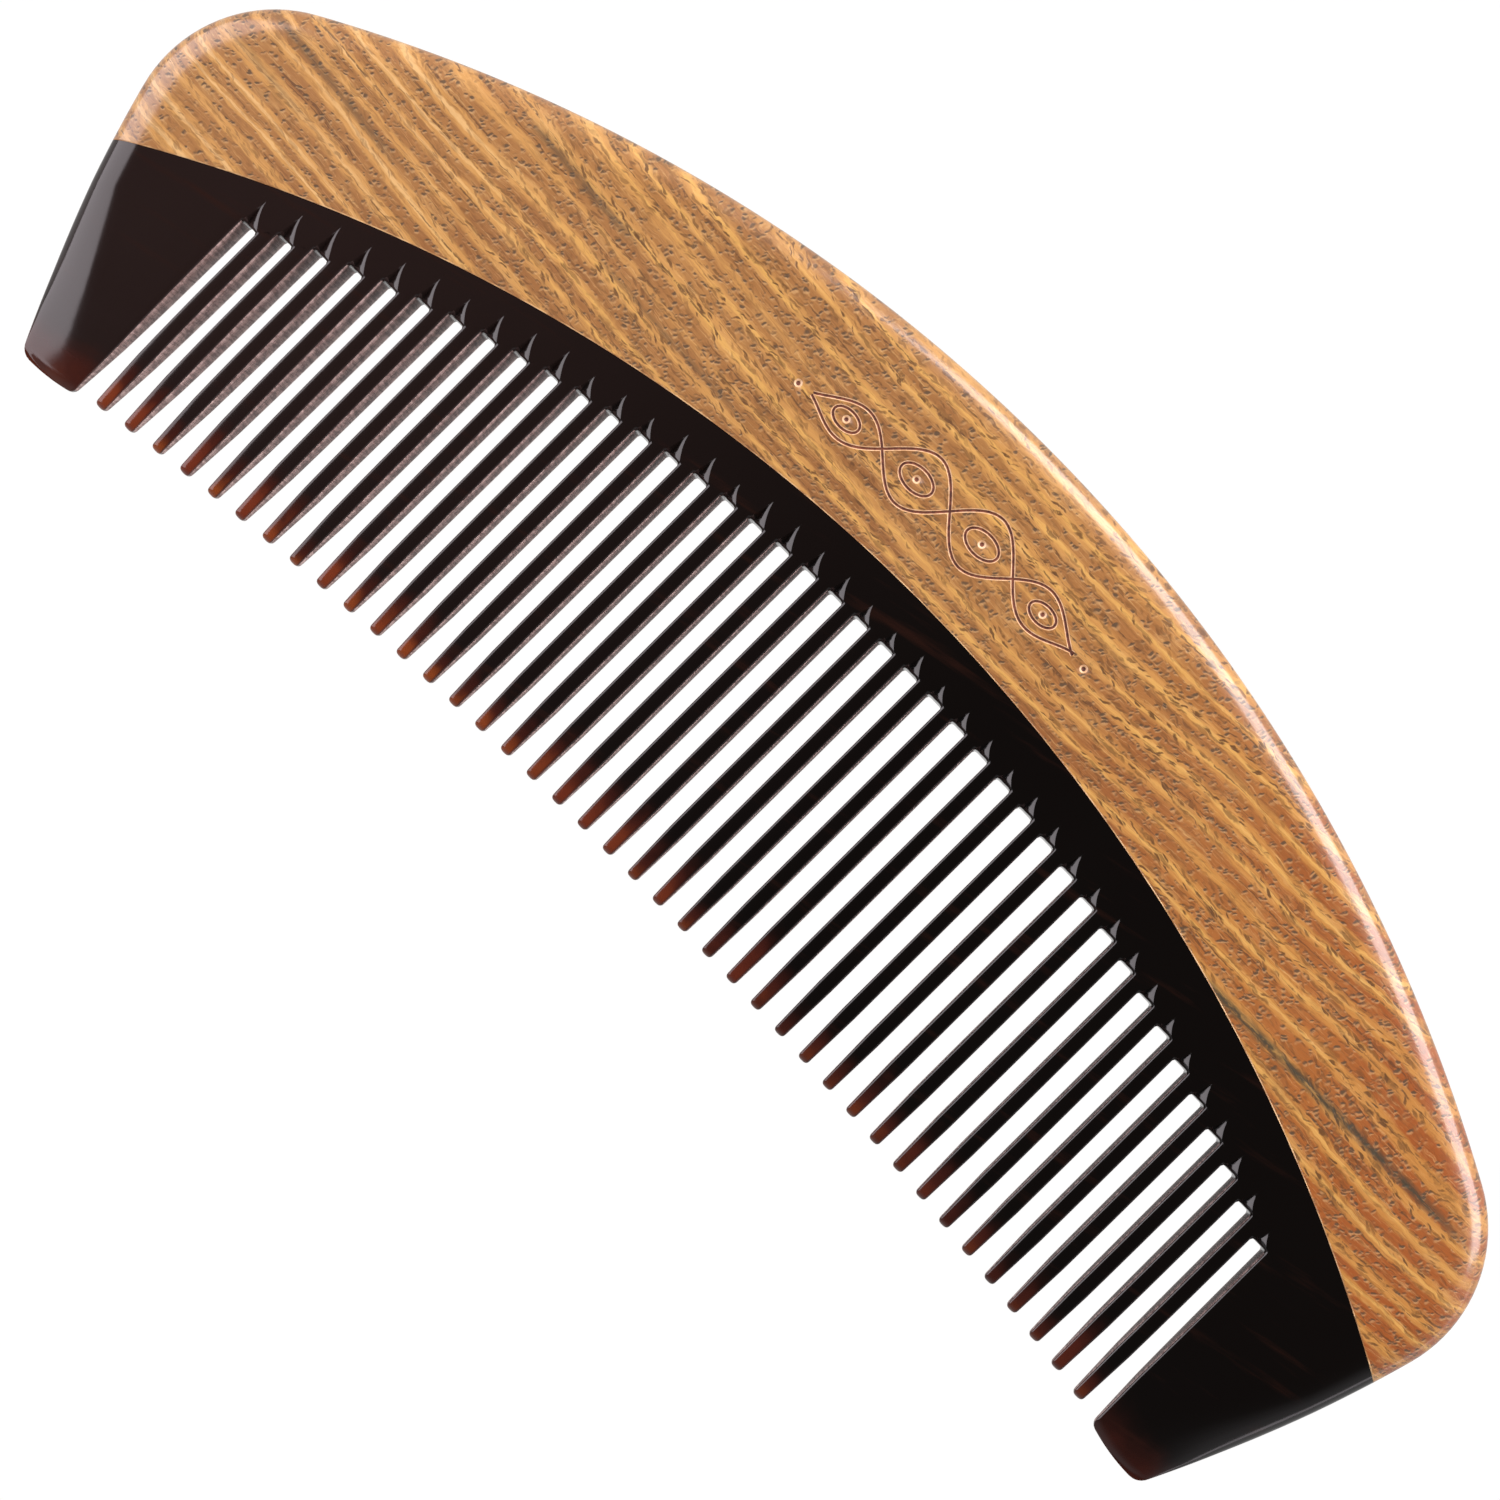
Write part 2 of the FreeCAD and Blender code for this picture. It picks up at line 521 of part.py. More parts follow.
def taper_cutter():
    """Widens a slot towards the tips, so that each tooth narrows and its end has rounded corners."""
    body = new_body("taper_cutter")
    sketch = new_sketch(body, "taper_plan", "XY_Plane")
    kerf = size["kerf"] / 2
    wide = (size["pitch"] - size["tooth_tip_width"]) / 2
    corner = size["tip_corner"]
    length = size["tip_taper_length"]
    top = [vector(-kerf, length), vector(kerf, length)]
    right = [vector(kerf, length), vector(wide, corner)]
    turn = vector(wide + corner * (1 - math.cos(math.pi / 4)), corner * (1 - math.sin(math.pi / 4)))
    end = vector(wide + corner, 0)
    foot = vector(wide + corner, -3)
    pieces = [Part.LineSegment(*top), Part.LineSegment(*right), Part.Arc(right[1], turn, end),
              Part.LineSegment(end, foot), Part.LineSegment(foot, mirrored(foot)),
              Part.LineSegment(mirrored(foot), mirrored(end)),
              Part.Arc(mirrored(end), mirrored(turn), mirrored(right[1])),
              Part.LineSegment(mirrored(right[1]), mirrored(right[0]))]
    joints = [mirrored(right[0]), right[0], right[1], end, foot, mirrored(foot), mirrored(end), mirrored(right[1])]
    draw_loop(sketch, pieces, joints, smooth=set())
    sketch.addConstraint(Sketcher.Constraint("Symmetric", 0, 1, 0, 2, -2))
    bind(sketch, Sketcher.Constraint("DistanceX", 0, 1, 0, 2, 2 * kerf), cell("kerf"))
    bind(sketch, Sketcher.Constraint("DistanceY", -1, 1, 0, 1, length), cell("tip_taper_length"))
    sketch.addConstraint(Sketcher.Constraint("Symmetric", 1, 2, 7, 1, -2))
    bind(sketch, Sketcher.Constraint("DistanceX", 7, 1, 1, 2, 2 * wide), "Dimensions.pitch - Dimensions.tooth_tip_width")
    bind(sketch, Sketcher.Constraint("DistanceY", -1, 1, 1, 2, corner), cell("tip_corner"))
    for arc in (2, 6):
        bind(sketch, Sketcher.Constraint("Radius", arc, corner), cell("tip_corner"))
    sketch.addConstraint(Sketcher.Constraint("Symmetric", 3, 1, 5, 2, -2))
    sketch.addConstraint(Sketcher.Constraint("PointOnObject", 3, 1, -1))
    sketch.addConstraint(Sketcher.Constraint("Symmetric", 4, 1, 4, 2, -2))
    sketch.addConstraint(Sketcher.Constraint("Vertical", 3))
    bind(sketch, Sketcher.Constraint("DistanceX", 5, 2, 3, 1, 2 * (wide + corner)),
         "Dimensions.pitch - Dimensions.tooth_tip_width + 2 * Dimensions.tip_corner")
    sketch.addConstraint(Sketcher.Constraint("DistanceY", 4, 1, -1, 1, 3))
    pad = body.newObject("PartDesign::Pad", "taper_depth")
    pad.Profile = sketch
    pad.Midplane = True
    pad.Length = TOOL_THICKNESS
    return body


def linked(source, name):
    link = doc.addObject("App::Link", name)
    link.LinkedObject = source
    return link


wedge = tip_wedge()
kerf_tool = kerf_cutter()
saw = pointed_saw()
taper_tool = taper_cutter()
saw_back, saw_lift = saw_place()
saw_front = linked(saw, "saw_at_front")
saw_front.Placement.Base = FreeCAD.Vector(0, saw_back, saw_lift)
saw_rear = linked(saw, "saw_at_rear")
saw_rear.Placement.Base = FreeCAD.Vector(0, saw_back, -saw_lift)
slot_tool = doc.addObject("Part::MultiFuse", "slot_tool")
slot_tool.Shapes = [kerf_tool, saw_front, saw_rear]
doc.recompute()
print("slot tool:", round(slot_tool.Shape.Volume, 1), "taper tool:", round(taper_tool.Shape.Volume, 1))

slot_tools = []
for number in SLOT_NUMBERS:
    for source, line in ((slot_tool, "root"), (taper_tool, "tip")):
        cutter = linked(source, f"{line}_cutter_{number + 21}")
        cutter.setExpression("Placement.Base.x", f"Dimensions.slot_shift + Dimensions.pitch * {number}")
        cutter.setExpression("Placement.Base.y",
                             f"Dimensions.{line}_height - Dimensions.{line}_radius"
                             f" + sqrt(Dimensions.{line}_radius ^ 2 - (Dimensions.pitch * {number}) ^ 2)")
        slot_tools.append(cutter)
all_slots = doc.addObject("Part::MultiFuse", "all_slots")
all_slots.Shapes = slot_tools
thinned = doc.addObject("Part::Common", "horn_thinned")
thinned.Base = horn_blank
thinned.Tool = wedge
tooth_plate = doc.addObject("Part::Cut", "horn_sawn")
tooth_plate.Base = thinned
tooth_plate.Tool = all_slots
doc.recompute()

# The finished pieces, set down in the comb's own frame.

PIECES = {"wood_spine": wood_spine, "horn_tooth_plate": tooth_plate, "glue_line": glue_line}
for label, piece in PIECES.items():
    piece.Label = label
    piece.setExpression("Placement.Base.y", "Dimensions.comb_depth / 2 - Dimensions.crown_height")
    piece.setExpression("Placement.Base.z", "Dimensions.spine_thickness / 2")
doc.recompute()

for item in doc.Objects:
    if "Invalid" in item.State or "Error" in item.State:
        raise RuntimeError(f"{item.Label} did not build: {item.State}")
for label, piece in PIECES.items():
    shape = piece.Shape
    if shape.isNull() or not shape.isValid():
        raise RuntimeError(f"{label} has no valid shape")
    box = shape.BoundBox
    print(label, len(shape.Solids), "solid,", round(shape.Volume, 1), "mm3, from",
          [round(v, 2) for v in (box.XMin, box.YMin, box.ZMin)], "to",
          [round(v, 2) for v in (box.XMax, box.YMax, box.ZMax)])

os.makedirs("parts", exist_ok=True)
for label, piece in PIECES.items():
    piece.Shape.exportStep(f"parts/{label}.step")
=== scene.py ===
# %% [markdown]
# A wood-and-horn comb, dressed for its picture. The comb's shape comes ready made: a spine of striped wood,
# a plate of horn with its sawn teeth, and the film of glue between them. This lesson puts it on a bright
# table, models its pieces again with the small shapes that sanding and sawing give them, and gives each
# piece its finish.

# %% Load the comb's frame
import math
import random
import bmesh
import bpy
from mathutils import Matrix, Vector


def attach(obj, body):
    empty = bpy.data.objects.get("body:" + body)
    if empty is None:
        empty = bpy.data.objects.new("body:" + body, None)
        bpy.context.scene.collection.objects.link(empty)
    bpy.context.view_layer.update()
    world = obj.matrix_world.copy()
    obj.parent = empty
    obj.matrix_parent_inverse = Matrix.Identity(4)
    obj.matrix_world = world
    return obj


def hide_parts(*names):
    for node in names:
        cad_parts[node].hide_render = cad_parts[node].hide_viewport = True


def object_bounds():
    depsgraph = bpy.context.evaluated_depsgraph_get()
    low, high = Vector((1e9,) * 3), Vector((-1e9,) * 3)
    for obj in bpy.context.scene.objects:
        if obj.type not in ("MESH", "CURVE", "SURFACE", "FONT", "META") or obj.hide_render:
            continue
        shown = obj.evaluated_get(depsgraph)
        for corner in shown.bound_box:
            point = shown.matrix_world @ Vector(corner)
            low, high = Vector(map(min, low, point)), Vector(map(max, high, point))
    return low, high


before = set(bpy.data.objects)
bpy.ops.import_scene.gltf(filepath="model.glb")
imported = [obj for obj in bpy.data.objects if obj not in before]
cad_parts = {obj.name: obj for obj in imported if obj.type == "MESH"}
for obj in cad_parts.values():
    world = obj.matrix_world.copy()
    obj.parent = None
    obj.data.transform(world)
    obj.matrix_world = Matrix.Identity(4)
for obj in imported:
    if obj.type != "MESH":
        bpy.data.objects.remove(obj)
comb_low, comb_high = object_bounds()
comb_size = comb_high - comb_low
MM = 0.001
print("comb is", [round(side / MM, 1) for side in comb_size], "mm")

# %% [markdown]
# The camera looks down on the comb from about half a metre with a long lens, as for a page in a catalogue.
# It hangs a little to the right of the comb's middle and is turned by 45 degrees, so the comb lies along
# the picture's diagonal. Looking from the right shows a sliver of the slots' left walls.

# %% Camera
CAMERA_ASIDE = 25.14 * MM
CAMERA_HEIGHT = 469.2 * MM
CAMERA_BELOW = 9.0 * MM
CAMERA_LEAN = math.radians(2.999)
PICTURE_TURN = math.radians(45.25)
LENS = 114.0


def set_camera():
    """Stands the camera over the comb, leaning back towards its middle."""
    data = bpy.data.cameras.new("table_camera")
    data.sensor_width = 36
    data.lens = LENS
    data.clip_start = 0.01
    camera = bpy.data.objects.new("table_camera", data)
    place = Vector((CAMERA_ASIDE, -CAMERA_BELOW, CAMERA_HEIGHT))
    lean = Matrix.Rotation(CAMERA_LEAN, 4, "Y")
    turn = Matrix.Rotation(PICTURE_TURN, 4, "Z")
    camera.matrix_world = Matrix.Translation(place) @ lean @ turn
    bpy.context.scene.collection.objects.link(camera)
    bpy.context.scene.camera = camera
    return camera


camera = set_camera()
print("camera at", [round(c, 3) for c in camera.location], "m")

# %% [markdown]
# Materials here are built from nodes in code. Short helpers keep that readable: `add` makes one node, and
# sets each of its inputs either to a plain value or to a link from another node's output. The others stand
# for the nodes that are used most, and `srgb` turns a colour as it looks on screen into the values that
# nodes use.

# %% Helpers for nodes
def add(tree, kind, inputs=None, output=0, **settings):
    """Makes a node and returns one of its outputs."""
    node = tree.nodes.new(kind)
    for name, value in settings.items():
        setattr(node, name, value)
    for key, value in (inputs or {}).items():
        socket = node.inputs[key]
        if isinstance(value, bpy.types.NodeSocket):
            tree.links.new(value, socket)
        else:
            socket.default_value = value
    return node.outputs[output]


def maths(tree, operation, first, second=0.0, third=0.0):
    """One Math node."""
    return add(tree, "ShaderNodeMath", {0: first, 1: second, 2: third}, operation=operation)


def fade(tree, value, low, high, to_low=0.0, to_high=1.0):
    """A smooth step from to_low to to_high while the value goes from low to high."""
    return add(tree, "ShaderNodeMapRange",
               {"Value": value, "From Min": low, "From Max": high, "To Min": to_low, "To Max": to_high},
               interpolation_type="SMOOTHSTEP")


def mix_colours(tree, share, first, second, blend="MIX"):
    """Mixes two colours by a share from 0 to 1."""
    node = tree.nodes.new("ShaderNodeMix")
    node.data_type = "RGBA"
    node.blend_type = blend
    for socket, value in ((node.inputs[0], share), (node.inputs[6], first), (node.inputs[7], second)):
        if isinstance(value, bpy.types.NodeSocket):
            tree.links.new(value, socket)
        else:
            socket.default_value = value
    return node.outputs[2]


def ramp(tree, value, stops):
    """A colour ramp with (place, colour) stops."""
    node = tree.nodes.new("ShaderNodeValToRGB")
    tree.links.new(value, node.inputs[0])
    band = node.color_ramp
    while len(band.elements) > 1:
        band.elements.remove(band.elements[-1])
    band.elements[0].position, band.elements[0].color = stops[0]
    for place, colour in stops[1:]:
        band.elements.new(place).color = colour
    return node.outputs[0]


def srgb(red, green, blue):
    """A colour given as it looks on screen, 0 to 255, in the linear values that nodes use."""
    def linear(step):
        share = step / 255
        return share / 12.92 if share <= 0.04045 else ((share + 0.055) / 1.055) ** 2.4
    return (linear(red), linear(green), linear(blue), 1.0)


# %% [markdown]
# The table is a sheet of white that gives off light of its own, like a light table. It bleaches its own
# surface, shows white through every slot, and lights the sawn walls from below. It lights the comb a little
# less brightly than it looks, so that the sawn walls stay darker than the white beside them. The room is a
# soft tent: bright round the sides, dim overhead, because a black polished face would mirror a bright
# ceiling and turn grey.

# %% Table, tent and lamps
TABLE_LOOKS = 1.02
TABLE_LIGHTS = 0.70
TENT = [(0.0, (0.35, 0.34, 0.35, 1)),
        (0.10, (0.45, 0.44, 0.45, 1)),
        (0.50, (0.34, 0.33, 0.34, 1)),
        (0.82, (0.06, 0.06, 0.06, 1)),
        (1.0, (0.03, 0.03, 0.03, 1))]


def set_table():
    """A wide glowing sheet just under the comb."""
    mesh = bpy.data.meshes.new("light_table")
    shape = bmesh.new()
    bmesh.ops.create_grid(shape, x_segments=1, y_segments=1, size=3.0)
    shape.to_mesh(mesh)
    shape.free()
    table = bpy.data.objects.new("light_table", mesh)
    table.location.z = comb_low.z - 0.2 * MM
    material = bpy.data.materials.new("glowing_white")
    material.use_nodes = True
    tree = material.node_tree
    tree.nodes.clear()
    looked_at = add(tree, "ShaderNodeLightPath", output="Is Camera Ray")
    strength = maths(tree, "MULTIPLY_ADD", looked_at, TABLE_LOOKS - TABLE_LIGHTS, TABLE_LIGHTS)
    glow = add(tree, "ShaderNodeEmission", {"Color": (1.0, 0.99, 0.985, 1.0), "Strength": strength})
    out = tree.nodes.new("ShaderNodeOutputMaterial")
    tree.links.new(glow, out.inputs["Surface"])
    mesh.materials.append(material)
    bpy.context.scene.collection.objects.link(table)


def set_tent():
    """The room's light, from bright at the horizon to dim overhead."""
    world = bpy.data.worlds.new("tent")
    world.use_nodes = True
    tree = world.node_tree
    tree.nodes.clear()
    direction = add(tree, "ShaderNodeTexCoord", output="Generated")
    height = add(tree, "ShaderNodeSeparateXYZ", {0: direction}, output="Z")
    shade = add(tree, "ShaderNodeBackground", {"Color": ramp(tree, height, TENT), "Strength": 1.0})
    out = tree.nodes.new("ShaderNodeOutputWorld")
    tree.links.new(shade, out.inputs["Surface"])
    bpy.context.scene.world = world


def set_lamp(name, place, size, power, colour):
    """A soft box that faces the comb."""
    data = bpy.data.lights.new(name, "AREA")
    data.shape = "RECTANGLE"
    data.size, data.size_y = size
    data.energy = power
    data.color = colour
    lamp = bpy.data.objects.new(name, data)
    lamp.location = place
    lamp.rotation_euler = (-Vector(place)).to_track_quat("-Z", "Y").to_euler()
    bpy.context.scene.collection.objects.link(lamp)


set_table()
set_tent()
set_lamp("left_softbox", (-0.55, -0.12, 0.355), (1.0, 0.67), 6.6, (1.0, 0.92, 0.97))
set_lamp("crown_softbox", (0.27, 0.55, 0.36), (0.9, 0.40), 9.4, (1.0, 0.95, 0.96))
set_lamp("right_softbox", (0.64, -0.05, 0.06), (0.7, 0.10), 0.35, (1.0, 0.90, 0.96))
bpy.context.scene.view_settings.view_transform = "Standard"

# %% [markdown]
# Every piece of the comb was shaped after the wood and the horn were glued together, so the two share their
# surfaces: flat over the crown, then gently thinner towards the teeth. Here those surfaces are written down
# once, as the comb's own measures and a function that says how thick the comb is at any spot. Both pieces
# use it, and so they meet at the seam with no step.

# %% The comb's own measures, in millimetres
LOW = comb_low / MM
HIGH = comb_high / MM
MIDDLE_Z = (LOW.z + HIGH.z) / 2
CROWN_ABOVE_TURNING = 192.6
TURNING = Vector((0, HIGH.y - CROWN_ABOVE_TURNING))
SEAM = Vector((2.0, TURNING.y))
SEAM_RADIUS = 173.2
BLEND = 12.0
SEAM_DROP = 0.25
BLEND_RADIUS = (BLEND ** 2 + SEAM_DROP ** 2) / (2 * SEAM_DROP)
BLEND_SLOPE = BLEND / (BLEND_RADIUS - SEAM_DROP)
EDGE_WIDE = 3.4
EDGE_DEEP = 2.1
TIPS_ABOVE_TURNING = 134.0
TIP_RADIUS = 500.0
TIP_CENTRE_Y = TURNING.y + TIPS_ABOVE_TURNING - TIP_RADIUS
TIP_HALF = 0.8
TIP_SLOPE = 0.233
SOFT_JOIN = 1.6


def above_tips(x, y):
    """How far a spot lies above the line of the tooth tips."""
    return math.hypot(x, y - TIP_CENTRE_Y) - TIP_RADIUS


def half_thickness(x, y):
    """Height of the comb's face above its mid-plane."""
    inward = SEAM_RADIUS + BLEND - math.hypot(x - TURNING.x, y - TURNING.y)
    if inward <= 0:
        drop = 0.0
    elif inward <= BLEND:
        drop = BLEND_RADIUS - math.sqrt(BLEND_RADIUS ** 2 - inward ** 2)
    else:
        drop = SEAM_DROP + BLEND_SLOPE * (inward - BLEND)
    full = (HIGH.z - LOW.z) / 2 - drop
    thinned = TIP_HALF + TIP_SLOPE * above_tips(x, y)
    soft = max(0.0, SOFT_JOIN - abs(full - thinned)) / SOFT_JOIN
    return min(full, thinned) - soft ** 2 * SOFT_JOIN / 4


print("thickness at the seam:", round(2 * half_thickness(0, TURNING.y + SEAM_RADIUS), 2), "mm")

# %% [markdown]
# Round the outside, the comb is made of arcs that run into each other: the crown, a corner at each end, and
# the long sides of the guards. An arc moved inwards is the same arc with a smaller radius, which makes it
# easy to draw rings that stay at the same distance from the edge.

# %% Outline
CROWN_RADIUS = 167.6
CORNER_RADIUS = 15.0
SIDE_RADIUS = 148.0
CROWN = Vector((0, HIGH.y - CROWN_RADIUS))
CORNER_X = HIGH.x - CORNER_RADIUS
CORNER = Vector((CORNER_X, CROWN.y + math.sqrt((CROWN_RADIUS - CORNER_RADIUS) ** 2 - CORNER_X ** 2)))
SIDE_X = -55.0
SIDE_RISE = math.sqrt((SIDE_RADIUS - CORNER_RADIUS) ** 2 - (CORNER_X - SIDE_X) ** 2)
SIDE = Vector((SIDE_X, CORNER.y + SIDE_RISE))
FOOT_RADIUS = 20.0
FOOT_CORNER_RADIUS = 1.7
FOOT = Vector((77.0, LOW.y + FOOT_RADIUS))


def crossing(centre_a, radius_a, centre_b, radius_b):
    """Where two circles cross, on the left of the way from a to b."""
    gap = centre_b - centre_a
    along = (radius_a ** 2 - radius_b ** 2 + gap.length ** 2) / (2 * gap.length)
    unit = gap.normalized()
    return centre_a + unit * along + Vector((-unit.y, unit.x)) * math.sqrt(radius_a ** 2 - along ** 2)


def angle_to(centre, point):
    """The direction from a centre to a point."""
    return math.atan2(point.y - centre.y, point.x - centre.x)


def on_circle(centre, radius, angle):
    """The spot on a circle in that direction."""
    return centre + Vector((math.cos(angle), math.sin(angle))) * radius


def circle_y(centre, radius, x, side=1):
    """The height of a circle over x: its upper side, or its lower one for a side of -1."""
    return centre.y + side * math.sqrt(radius ** 2 - (x - centre.x) ** 2)


SMALL_FOOT, SMALL_SIDE = FOOT_RADIUS - FOOT_CORNER_RADIUS, SIDE_RADIUS - FOOT_CORNER_RADIUS
FOOT_CORNER = min(crossing(FOOT, SMALL_FOOT, SIDE, SMALL_SIDE),
                  crossing(SIDE, SMALL_SIDE, FOOT, SMALL_FOOT),
                  key=lambda point: point.y)
SOLE = on_circle(FOOT, FOOT_RADIUS, angle_to(FOOT, FOOT_CORNER))
ANKLE = on_circle(SIDE, SIDE_RADIUS, angle_to(SIDE, FOOT_CORNER))
print("sole of the right guard at", [round(c, 1) for c in SOLE], "ankle at", [round(c, 1) for c in ANKLE])

# %% [markdown]
# Both pieces start the same way: a flat sheet of squares, one square per step along and across, is given a
# front, a back and walls. After that no vertex is added by hand. A function takes each vertex's column, row
# and level, and moves it to its place on the comb.

# %% Sheets of squares
FRONT_LEVEL, BACK_LEVEL = 3, 0


def lined_sheet(columns, rows):
    """A sheet whose vertices stand at whole numbers: x is the column and y the row."""
    sheet = bmesh.new()
    bmesh.ops.create_grid(sheet, x_segments=columns, y_segments=rows, size=1.0)
    reach = max(vertex.co.x for vertex in sheet.verts)
    bmesh.ops.translate(sheet, verts=sheet.verts, vec=(reach, reach, 0))
    bmesh.ops.scale(sheet, verts=sheet.verts, vec=(columns / (2 * reach), rows / (2 * reach), 1))
    return sheet


def thicken(sheet):
    """Gives the sheet a back at level 0, a front at level 3, and walls with two lines along them."""
    grown = bmesh.ops.extrude_face_region(sheet, geom=sheet.faces[:])["geom"]
    front = [item for item in grown if isinstance(item, bmesh.types.BMVert)]
    bmesh.ops.translate(sheet, verts=front, vec=(0, 0, FRONT_LEVEL))
    uprights = [edge for edge in sheet.edges if abs(edge.verts[0].co.z - edge.verts[1].co.z) > 1]
    bmesh.ops.subdivide_edges(sheet, edges=uprights, cuts=2, use_grid_fill=True)


def rounding_steps(count):
    """Pairs of (share of the way in, share of the way down) round a quarter circle, from wall to face."""
    angles = [math.pi / 2 * step / count for step in range(count + 1)]
    return [(1 - math.cos(angle), 1 - math.sin(angle)) for angle in angles]


print("steps of a rounded edge:", [(round(i, 2), round(d, 2)) for i, d in rounding_steps(3)])

# %% [markdown]
# A finished mesh is closed, its faces point outwards, and no two of its vertices lie in one spot. Three
# operators see to that, and the same helper then turns the millimetres into metres and makes the object.

# %% Finished meshes
MERGE = 0.00005
SHARP = math.radians(40)


def close_up(shape):
    """Merges what meets and turns the faces outwards."""
    bmesh.ops.remove_doubles(shape, verts=shape.verts, dist=MERGE)
    bmesh.ops.dissolve_degenerate(shape, edges=shape.edges, dist=MERGE)
    bmesh.ops.recalc_face_normals(shape, faces=shape.faces)


def finish_mesh(shape, name):
    """Closes the shape and makes the object, in metres."""
    close_up(shape)
    bmesh.ops.scale(shape, verts=shape.verts, vec=(MM, MM, MM))
    open_edges = sum(1 for edge in shape.edges if not edge.is_manifold)
    mesh = bpy.data.meshes.new(name)
    shape.to_mesh(mesh)
    shape.free()
    mesh.shade_smooth()
    mesh.set_sharp_from_angle(angle=SHARP)
    piece = bpy.data.objects.new(name, mesh)
    bpy.context.scene.collection.objects.link(piece)
    print(name, len(mesh.polygons), "faces, edges left open:", open_edges)
    return piece


# %% [markdown]
# Along the seam the horn has a tongue that sits in a groove in the wood, with a film of glue all round it.
# Both stop short of the comb's ends, so they don't show. On either piece the seam's wall has two lines
# along it, and the strip between them is pushed along the seam's own radius: into the wood, and out of the
# horn.

# %% Tongue and groove
GLUE = 0.12
TONGUE_DEEP = 4.0
TONGUE_HALF = 1.0
TONGUE_ANGLE = math.radians(26)
TONGUE_SLACK = 0.002


def seam_strip(shape, last_row):
    """The middle strip of the wall at the last row. It is found while the sheet is still unbent."""
    strip = []
    for face in shape.faces:
        centre = face.calc_center_median()
        if abs(centre.y - last_row) < 0.1 and 1 < centre.z < 2:
            strip.append(face)
    return strip


def push_strip(shape, strip, half_angle):
    """Pushes the strip within this angle of the comb's middle along the seam's radius."""
    bed = [face for face in strip
           if abs(angle_to(SEAM, face.calc_center_median().xy) - math.pi / 2) < half_angle]
    grown = bmesh.ops.extrude_face_region(shape, geom=bed)["geom"]
    bmesh.ops.delete(shape, geom=bed, context="FACES")
    for vertex in grown:
        if isinstance(vertex, bmesh.types.BMVert):
            radial = (vertex.co.xy - SEAM).normalized() * (TONGUE_DEEP + GLUE)
            vertex.co.x += radial.x
            vertex.co.y += radial.y


print("tongue:", TONGUE_DEEP, "mm deep and", 2 * TONGUE_HALF, "mm thick")

# %% [markdown]
# The spine is one block of striped wood. Its rows of squares run round it like the rings a maker sands:
# nine close together where the edge is rounded, then wider ones down to the seam.

# %% Wooden spine
SPINE_EDGE = rounding_steps(8)
INNER_RING = EDGE_WIDE * 1.1
SPINE_ROWS = 12
SIDE_STEPS, CORNER_STEPS, CROWN_STEPS = 8, 20, 48
HALF_STEPS = SIDE_STEPS + CORNER_STEPS + CROWN_STEPS


def outline_point(side, step, inset):
    """A spot on the ring at this inset. Step 0 is on the seam, and the last is on the crown's middle."""
    seam_here = Vector((SEAM.x * side, SEAM.y))
    start = angle_to(SIDE, crossing(seam_here, SEAM_RADIUS, SIDE, SIDE_RADIUS - inset))
    other = angle_to(SIDE, crossing(SIDE, SIDE_RADIUS - inset, seam_here, SEAM_RADIUS))
    start = max(start, other, key=lambda angle: on_circle(SIDE, SIDE_RADIUS, angle).x)
    hip = angle_to(SIDE, CORNER)
    shoulder = angle_to(CROWN, CORNER)
    if step <= SIDE_STEPS:
        point = on_circle(SIDE, SIDE_RADIUS - inset, start + (hip - start) * step / SIDE_STEPS)
    elif step <= SIDE_STEPS + CORNER_STEPS:
        share = (step - SIDE_STEPS) / CORNER_STEPS
        point = on_circle(CORNER, CORNER_RADIUS - inset, hip + (shoulder - hip) * share)
    else:
        share = (step - SIDE_STEPS - CORNER_STEPS) / CROWN_STEPS
        point = on_circle(CROWN, CROWN_RADIUS - inset, shoulder + (math.pi / 2 - shoulder) * share)
    return Vector((point.x * side, point.y))


def spine_spot(column, row):
    """Where a vertex goes in plan, and how far its face is let down by the rounded edge."""
    side = 1 if column <= HALF_STEPS else -1
    step = column if side == 1 else 2 * HALF_STEPS - column
    if row < len(SPINE_EDGE):
        inward, downward = SPINE_EDGE[row]
        return outline_point(side, step, inward * EDGE_WIDE), downward * EDGE_DEEP
    ring = outline_point(side, step, INNER_RING)
    share = (row - len(SPINE_EDGE)) / SPINE_ROWS
    end_angle = angle_to(SEAM, outline_point(side, 0, INNER_RING))
    along = 1 - step / HALF_STEPS
    seam_point = on_circle(SEAM, SEAM_RADIUS, math.pi / 2 + (end_angle - math.pi / 2) * along)
    return ring.lerp(seam_point, share), 0.0


def make_spine():
    """The spine in millimetres, with its rounded edges and the groove along its seam."""
    last_row = len(SPINE_EDGE) + SPINE_ROWS
    shape = lined_sheet(2 * HALF_STEPS, last_row)
    thicken(shape)
    strip = seam_strip(shape, last_row)
    groove_half = TONGUE_HALF + GLUE
    for vertex in shape.verts:
        column, row, level = (round(c) for c in vertex.co)
        spot, drop = spine_spot(column, row)
        height = half_thickness(*spot) - drop
        heights = {BACK_LEVEL: -height, 1: -groove_half, 2: groove_half, FRONT_LEVEL: height}
        vertex.co = (spot.x, spot.y, MIDDLE_Z + heights[level])
    push_strip(shape, strip, TONGUE_ANGLE)
    close_up(shape)
    return shape


print("steps round the spine:", 2 * HALF_STEPS)
